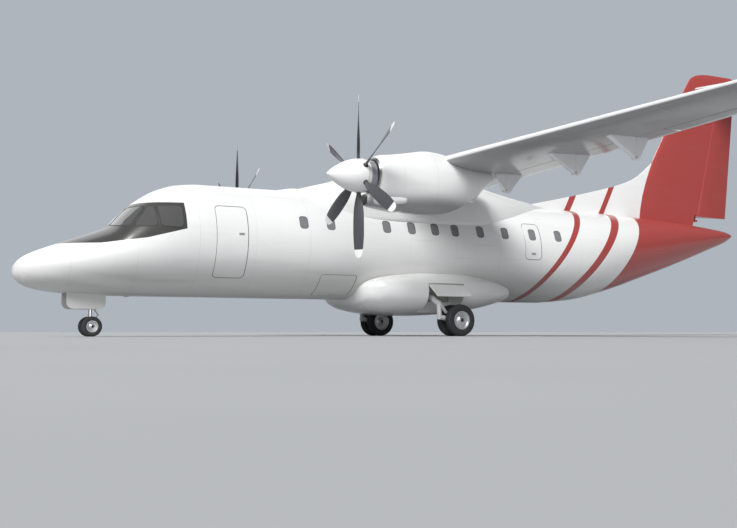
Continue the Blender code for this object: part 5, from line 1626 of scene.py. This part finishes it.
# %% Nose gear
CYLINDER = [(0.0, 0.0), (0.0, 0.062), (0.03, 0.066), (0.12, 0.066), (0.13, 0.075), (0.18, 0.075),
            (0.19, 0.064), (0.60, 0.064), (0.62, 0.078), (0.70, 0.080), (0.72, 0.070), (0.7497, 0.070),
            (0.7497, 0.0)]
COLLAR = [(0.0, 0.0), (0.0, 0.080), (0.01, 0.085), (0.09, 0.085), (0.10, 0.078), (0.10, 0.0)]
BRACE_EYE = [(-0.05, 0.0), (-0.05, 0.036), (0.05, 0.036), (0.05, 0.0)]
LAMP_BODY = [(0.0, 0.0), (0.0, 0.03), (0.05, 0.062), (0.085, 0.066), (0.09, 0.062), (0.09, 0.0)]
LAMP_LENS = [(0.0902, 0.0), (0.0902, 0.056), (0.096, 0.050), (0.104, 0.028), (0.107, 0.0)]
DOOR_FRONT, DOOR_REAR, DOOR_FOOT, DOOR_CORNER = -6.10, -5.14, -3.22, 0.16


def nose(x, aft, height):
    return at(x, NOSE_STATION + aft, height)


def sleeve(centre, half, outer, inner):
    """A short tube across the aircraft, about a middle."""
    section = [(-half, outer), (half, outer), (half, inner), (-half, inner)]
    return turned(section, centre, (1, 0, 0), 48, True)


leg = [turned(CYLINDER, nose(0, 0, -2.3503), (0, 0, -1), 40)]
leg.append(bar([nose(0, -0.03, -2.95), nose(0, -0.60, -2.40)], [0.030, 0.024], 20))
leg.append(turned(BRACE_EYE, nose(0, -0.055, -2.93), (1, 0, 0), 24))
leg.append(crossbar(nose(0, 0, -2.43), 0.2585, 0.032, 24))
piece("nose_leg", gather(*leg), gear_paint, "airframe", ["nose_gear_leg"])
for name, form, finish in (("housing", LAMP_BODY, gear_paint), ("glass", LAMP_LENS, lamp_glass)):
    piece(f"taxi_lamp_{name}", turned(form, nose(0, -0.07, -2.72), (0, -1, 0), 32), finish)

fork = [turned(COLLAR, nose(0, 0, -3.1003), (0, 0, -1), 40)]
fork.append(block((-0.055, -5.505, -3.64), (0.055, -5.395, -3.52), 0.02))
fork.append(sleeve(NOSE_CENTRE, NOSE_OFFSET - NOSE_HALF - 0.015, 0.055, 0.0289))
for height in (-3.18, -3.52):
    for x in (-0.034, 0.034):
        fork.append(bar([nose(x, 0.07, height), nose(x * 0.5, 0.20, -3.36)], [0.014, 0.011], 12))
fork.append(crossbar(nose(0, 0.20, -3.36), 0.03, 0.014, 16))
fork += [crossbar(nose(0, 0.07, z), 0.05, 0.016, 16) for z in (-3.18, -3.53)]
piece("nose_fork", gather(*fork), gear_paint, "nose_steering", ["nose_gear_fork"])
piece("nose_piston", bar([nose(0, 0, -3.19), nose(0, 0, -3.56)], 0.047, 36), chrome, "nose_steering")


def nose_door(side):
    """A thin door that hangs beside the leg, with its two lower corners rounded."""
    inner, outer, top, bend = 0.236, 0.2597, -2.72, -2.90
    rings = []
    for turn in steps(0.0, math.pi, 28):
        station = (DOOR_FRONT + DOOR_REAR) / 2 - math.cos(turn) * (DOOR_REAR - DOOR_FRONT) / 2
        short = DOOR_CORNER - min(station - DOOR_FRONT, DOOR_REAR - station, DOOR_CORNER)
        foot = DOOR_FOOT + DOOR_CORNER - math.sqrt(max(0.0, DOOR_CORNER**2 - short**2))
        lean = 0.03 * (bend - foot) / 0.32
        section = ((inner, top), (outer, top), (outer, bend), (outer + lean, foot + 0.004),
                   (outer + lean - 0.005, foot), (inner + lean + 0.005, foot), (inner + lean, foot + 0.004),
                   (inner, bend))
        rings.append([at(side * x, station, z) for x, z in section])
    return loft(rings)


for side, mark in SIDES:
    body_piece(f"nose_door_{mark}", nose_door(side), f"nose_gear_door_{mark}")
hinges = []
for x in (0.232, -0.232):
    hinges += [bar([at(x, s, -2.76), at(x, s + 0.08, -2.76)], 0.012, 12) for s in (-6.0, -5.66, -5.30)]
piece("nose_door_hinges", gather(*hinges), bare_steel)

# %% Main gear
BAY_SIDE, LEG_STATION = 1.3005, 3.42
MAIN_DOOR = [(1.94, -2.4603), (1.97, -2.4603), (2.06, -2.515), (2.20, -2.615), (2.34, -2.71), (2.45, -2.80),
             (2.43, -2.83), (2.31, -2.735), (2.17, -2.645), (2.03, -2.55)]


def lifted(point, x=0.0, aft=0.0, up=0.0):
    return point + Vector((x, aft, up))


def main_leg():
    """The port leg as the shapes of its arms, strut, piston, brakes and pipe."""
    centre, knee = at(MAIN_X, MAIN_STATION, MAIN_RADIUS - AXIS_HEIGHT), at(MAIN_X, LEG_STATION, -3.38)
    shoulder, elbow = at(1.52, LEG_STATION, -2.72), at(2.17, LEG_STATION, -3.02)
    fall = elbow - shoulder
    foot, head = at(MAIN_X, 3.79, -3.44), lifted(elbow, aft=0.06, up=-0.03)
    way = head - foot
    arms = [
        bar([shoulder - fall * 0.16, shoulder, elbow, elbow + fall * 0.08], [0.098, 0.094, 0.080, 0.066], 32),
        bar([lifted(elbow, up=0.06), lifted(knee, up=0.06), lifted(knee, up=-0.06)],
            [0.072, 0.062, 0.066], 28),
        bar([lifted(knee, aft=-0.05), knee, centre], [0.050, 0.066, 0.056], 28),
        crossbar(knee, 0.085, 0.036, 24),
        block((BAY_SIDE, 3.30, -2.84), (1.62, 3.54, -2.60), 0.03),
        sleeve(centre, MAIN_OFFSET - MAIN_HALF - 0.02, 0.075, 0.0429),
    ]
    strut = [bar([foot + way * f for f in (0.45, 0.47, 0.98)], [0.040, 0.046, 0.046], 28)]
    strut.append(crossbar(head, 0.06, 0.030, 20))
    piston = [bar([foot, foot + way * 0.5], 0.027, 24), crossbar(foot, 0.055, 0.026, 20)]
    brakes = [sleeve(lifted(centre, x), 0.012, 0.165, 0.078) for x in (-0.068, 0.068)]
    route = [lifted(shoulder, 0.1, 0.10, 0.02), lifted(elbow, -0.05, 0.11, -0.02)]
    route += [lifted(knee, -0.075, 0.03, 0.15), lifted(centre, -0.055, -0.25, 0.09)]
    route.append(lifted(centre, -0.062, -0.10, 0.08))
    return gather(*arms), gather(*strut), gather(*piston), gather(*brakes), bar(route, 0.009, 10)


for side, mark in SIDES:
    shapes = main_leg() if side > 0 else [mirrored(shape) for shape in main_leg()]
    piece(f"main_leg_{mark}", shapes[0], gear_paint, "airframe", [f"main_gear_leg_{mark}"])
    trims = (("shock_strut", gear_paint), ("shock_piston", chrome), ("brake_discs", bare_steel),
             ("brake_pipe", bare_steel))
    for (name, finish), shape in zip(trims, shapes[1:]):
        piece(f"{name}_{mark}", shape, finish)
    door = loft([[at(side * x, s, z) for x, z in MAIN_DOOR] for s in steps(3.22, 4.31, 2)])
    piece(f"main_door_{mark}", door, plain_paint, "airframe", [f"main_gear_door_{mark}"])

# %% [markdown]
# The aircraft stands on a plain pale floor under soft studio light. Three broad suns make it: a strong one
# high on the left front, as the sun stands in the photograph, a low one from the side for what lies in
# the wing's shade, and a weak one behind. The camera sees a pale grey-blue backdrop, while the sky that
# lights the aircraft is even and faint. The camera stands at floor level at the photograph's angle.

# %% Floor, light and camera
FLOOR_REACH = 400


def sun(name, place, strength, spread):
    """A broad sun that shines from a place towards the middle of the aircraft."""
    light = bpy.data.lights.new(name, "SUN")
    light.angle = math.radians(spread)
    light.energy = strength
    made = bpy.data.objects.new(name, light)
    made.location = place
    made.rotation_euler = (-Vector(place)).to_track_quat("-Z", "Y").to_euler()
    bpy.context.scene.collection.objects.link(made)


floor_paint = Finish("studio_floor", (0.40, 0.41, 0.42), 0.95)
floor_grain = floor_paint.noise(floor_paint.place()[-1], 0.6, 4.0)
floor_paint.plug("Base Color", floor_paint.mix(floor_grain, (0.385, 0.395, 0.405), (0.415, 0.425, 0.435)))
corners = [Vector((x * FLOOR_REACH, y * FLOOR_REACH, 0)) for x, y in ((-1, -1), (1, -1), (1, 1), (-1, 1))]
floor = as_object("floor", (corners, [[0, 1, 2, 3]]))
floor.data.materials.append(floor_paint.material)

world = bpy.data.worlds.new("studio")
bpy.context.scene.world = world
world.use_nodes = True
nodes, link = world.node_tree.nodes, world.node_tree.links.new
sky, backdrop = nodes["Background"], nodes.new("ShaderNodeBackground")
sky.inputs["Color"].default_value = (0.80, 0.86, 0.94, 1.0)
sky.inputs["Strength"].default_value = 0.17
backdrop.inputs["Color"].default_value = (0.42, 0.46, 0.51, 1.0)
seen, blend = nodes.new("ShaderNodeLightPath"), nodes.new("ShaderNodeMixShader")
link(seen.outputs["Is Camera Ray"], blend.inputs[0])
link(sky.outputs[0], blend.inputs[1])
link(backdrop.outputs[0], blend.inputs[2])
link(blend.outputs[0], nodes["World Output"].inputs["Surface"])
sun("key", (19.0, -24.0, 29.0), 4.0, 30)
sun("side", (40.0, -12.0, 1.0), 1.05, 50)
sun("fill", (-24.0, 6.0, 14.0), 0.75, 60)
bpy.context.scene.view_settings.view_transform = "Standard"

EYE, YAW, PITCH, LENS = (26.47, -12.15, 0.12), 151.13, 3.65, 51.9  # fitted to the photograph, but low
eye = bpy.data.cameras.new("camera")
eye.sensor_width = 36.0
eye.lens = LENS
eye.clip_end = 1000.0
camera = bpy.data.objects.new("camera", eye)
camera.location = at(EYE[0], EYE[1], EYE[2] - AXIS_HEIGHT)
yaw, pitch = math.radians(YAW), math.radians(PITCH)
look = Vector((math.cos(yaw) * math.cos(pitch), math.sin(yaw) * math.cos(pitch), math.sin(pitch)))
camera.rotation_euler = look.to_track_quat("-Z", "Y").to_euler()
bpy.context.scene.collection.objects.link(camera)
bpy.context.scene.camera = camera
print("the camera stands", round(camera.location.z, 2), "m above the floor")
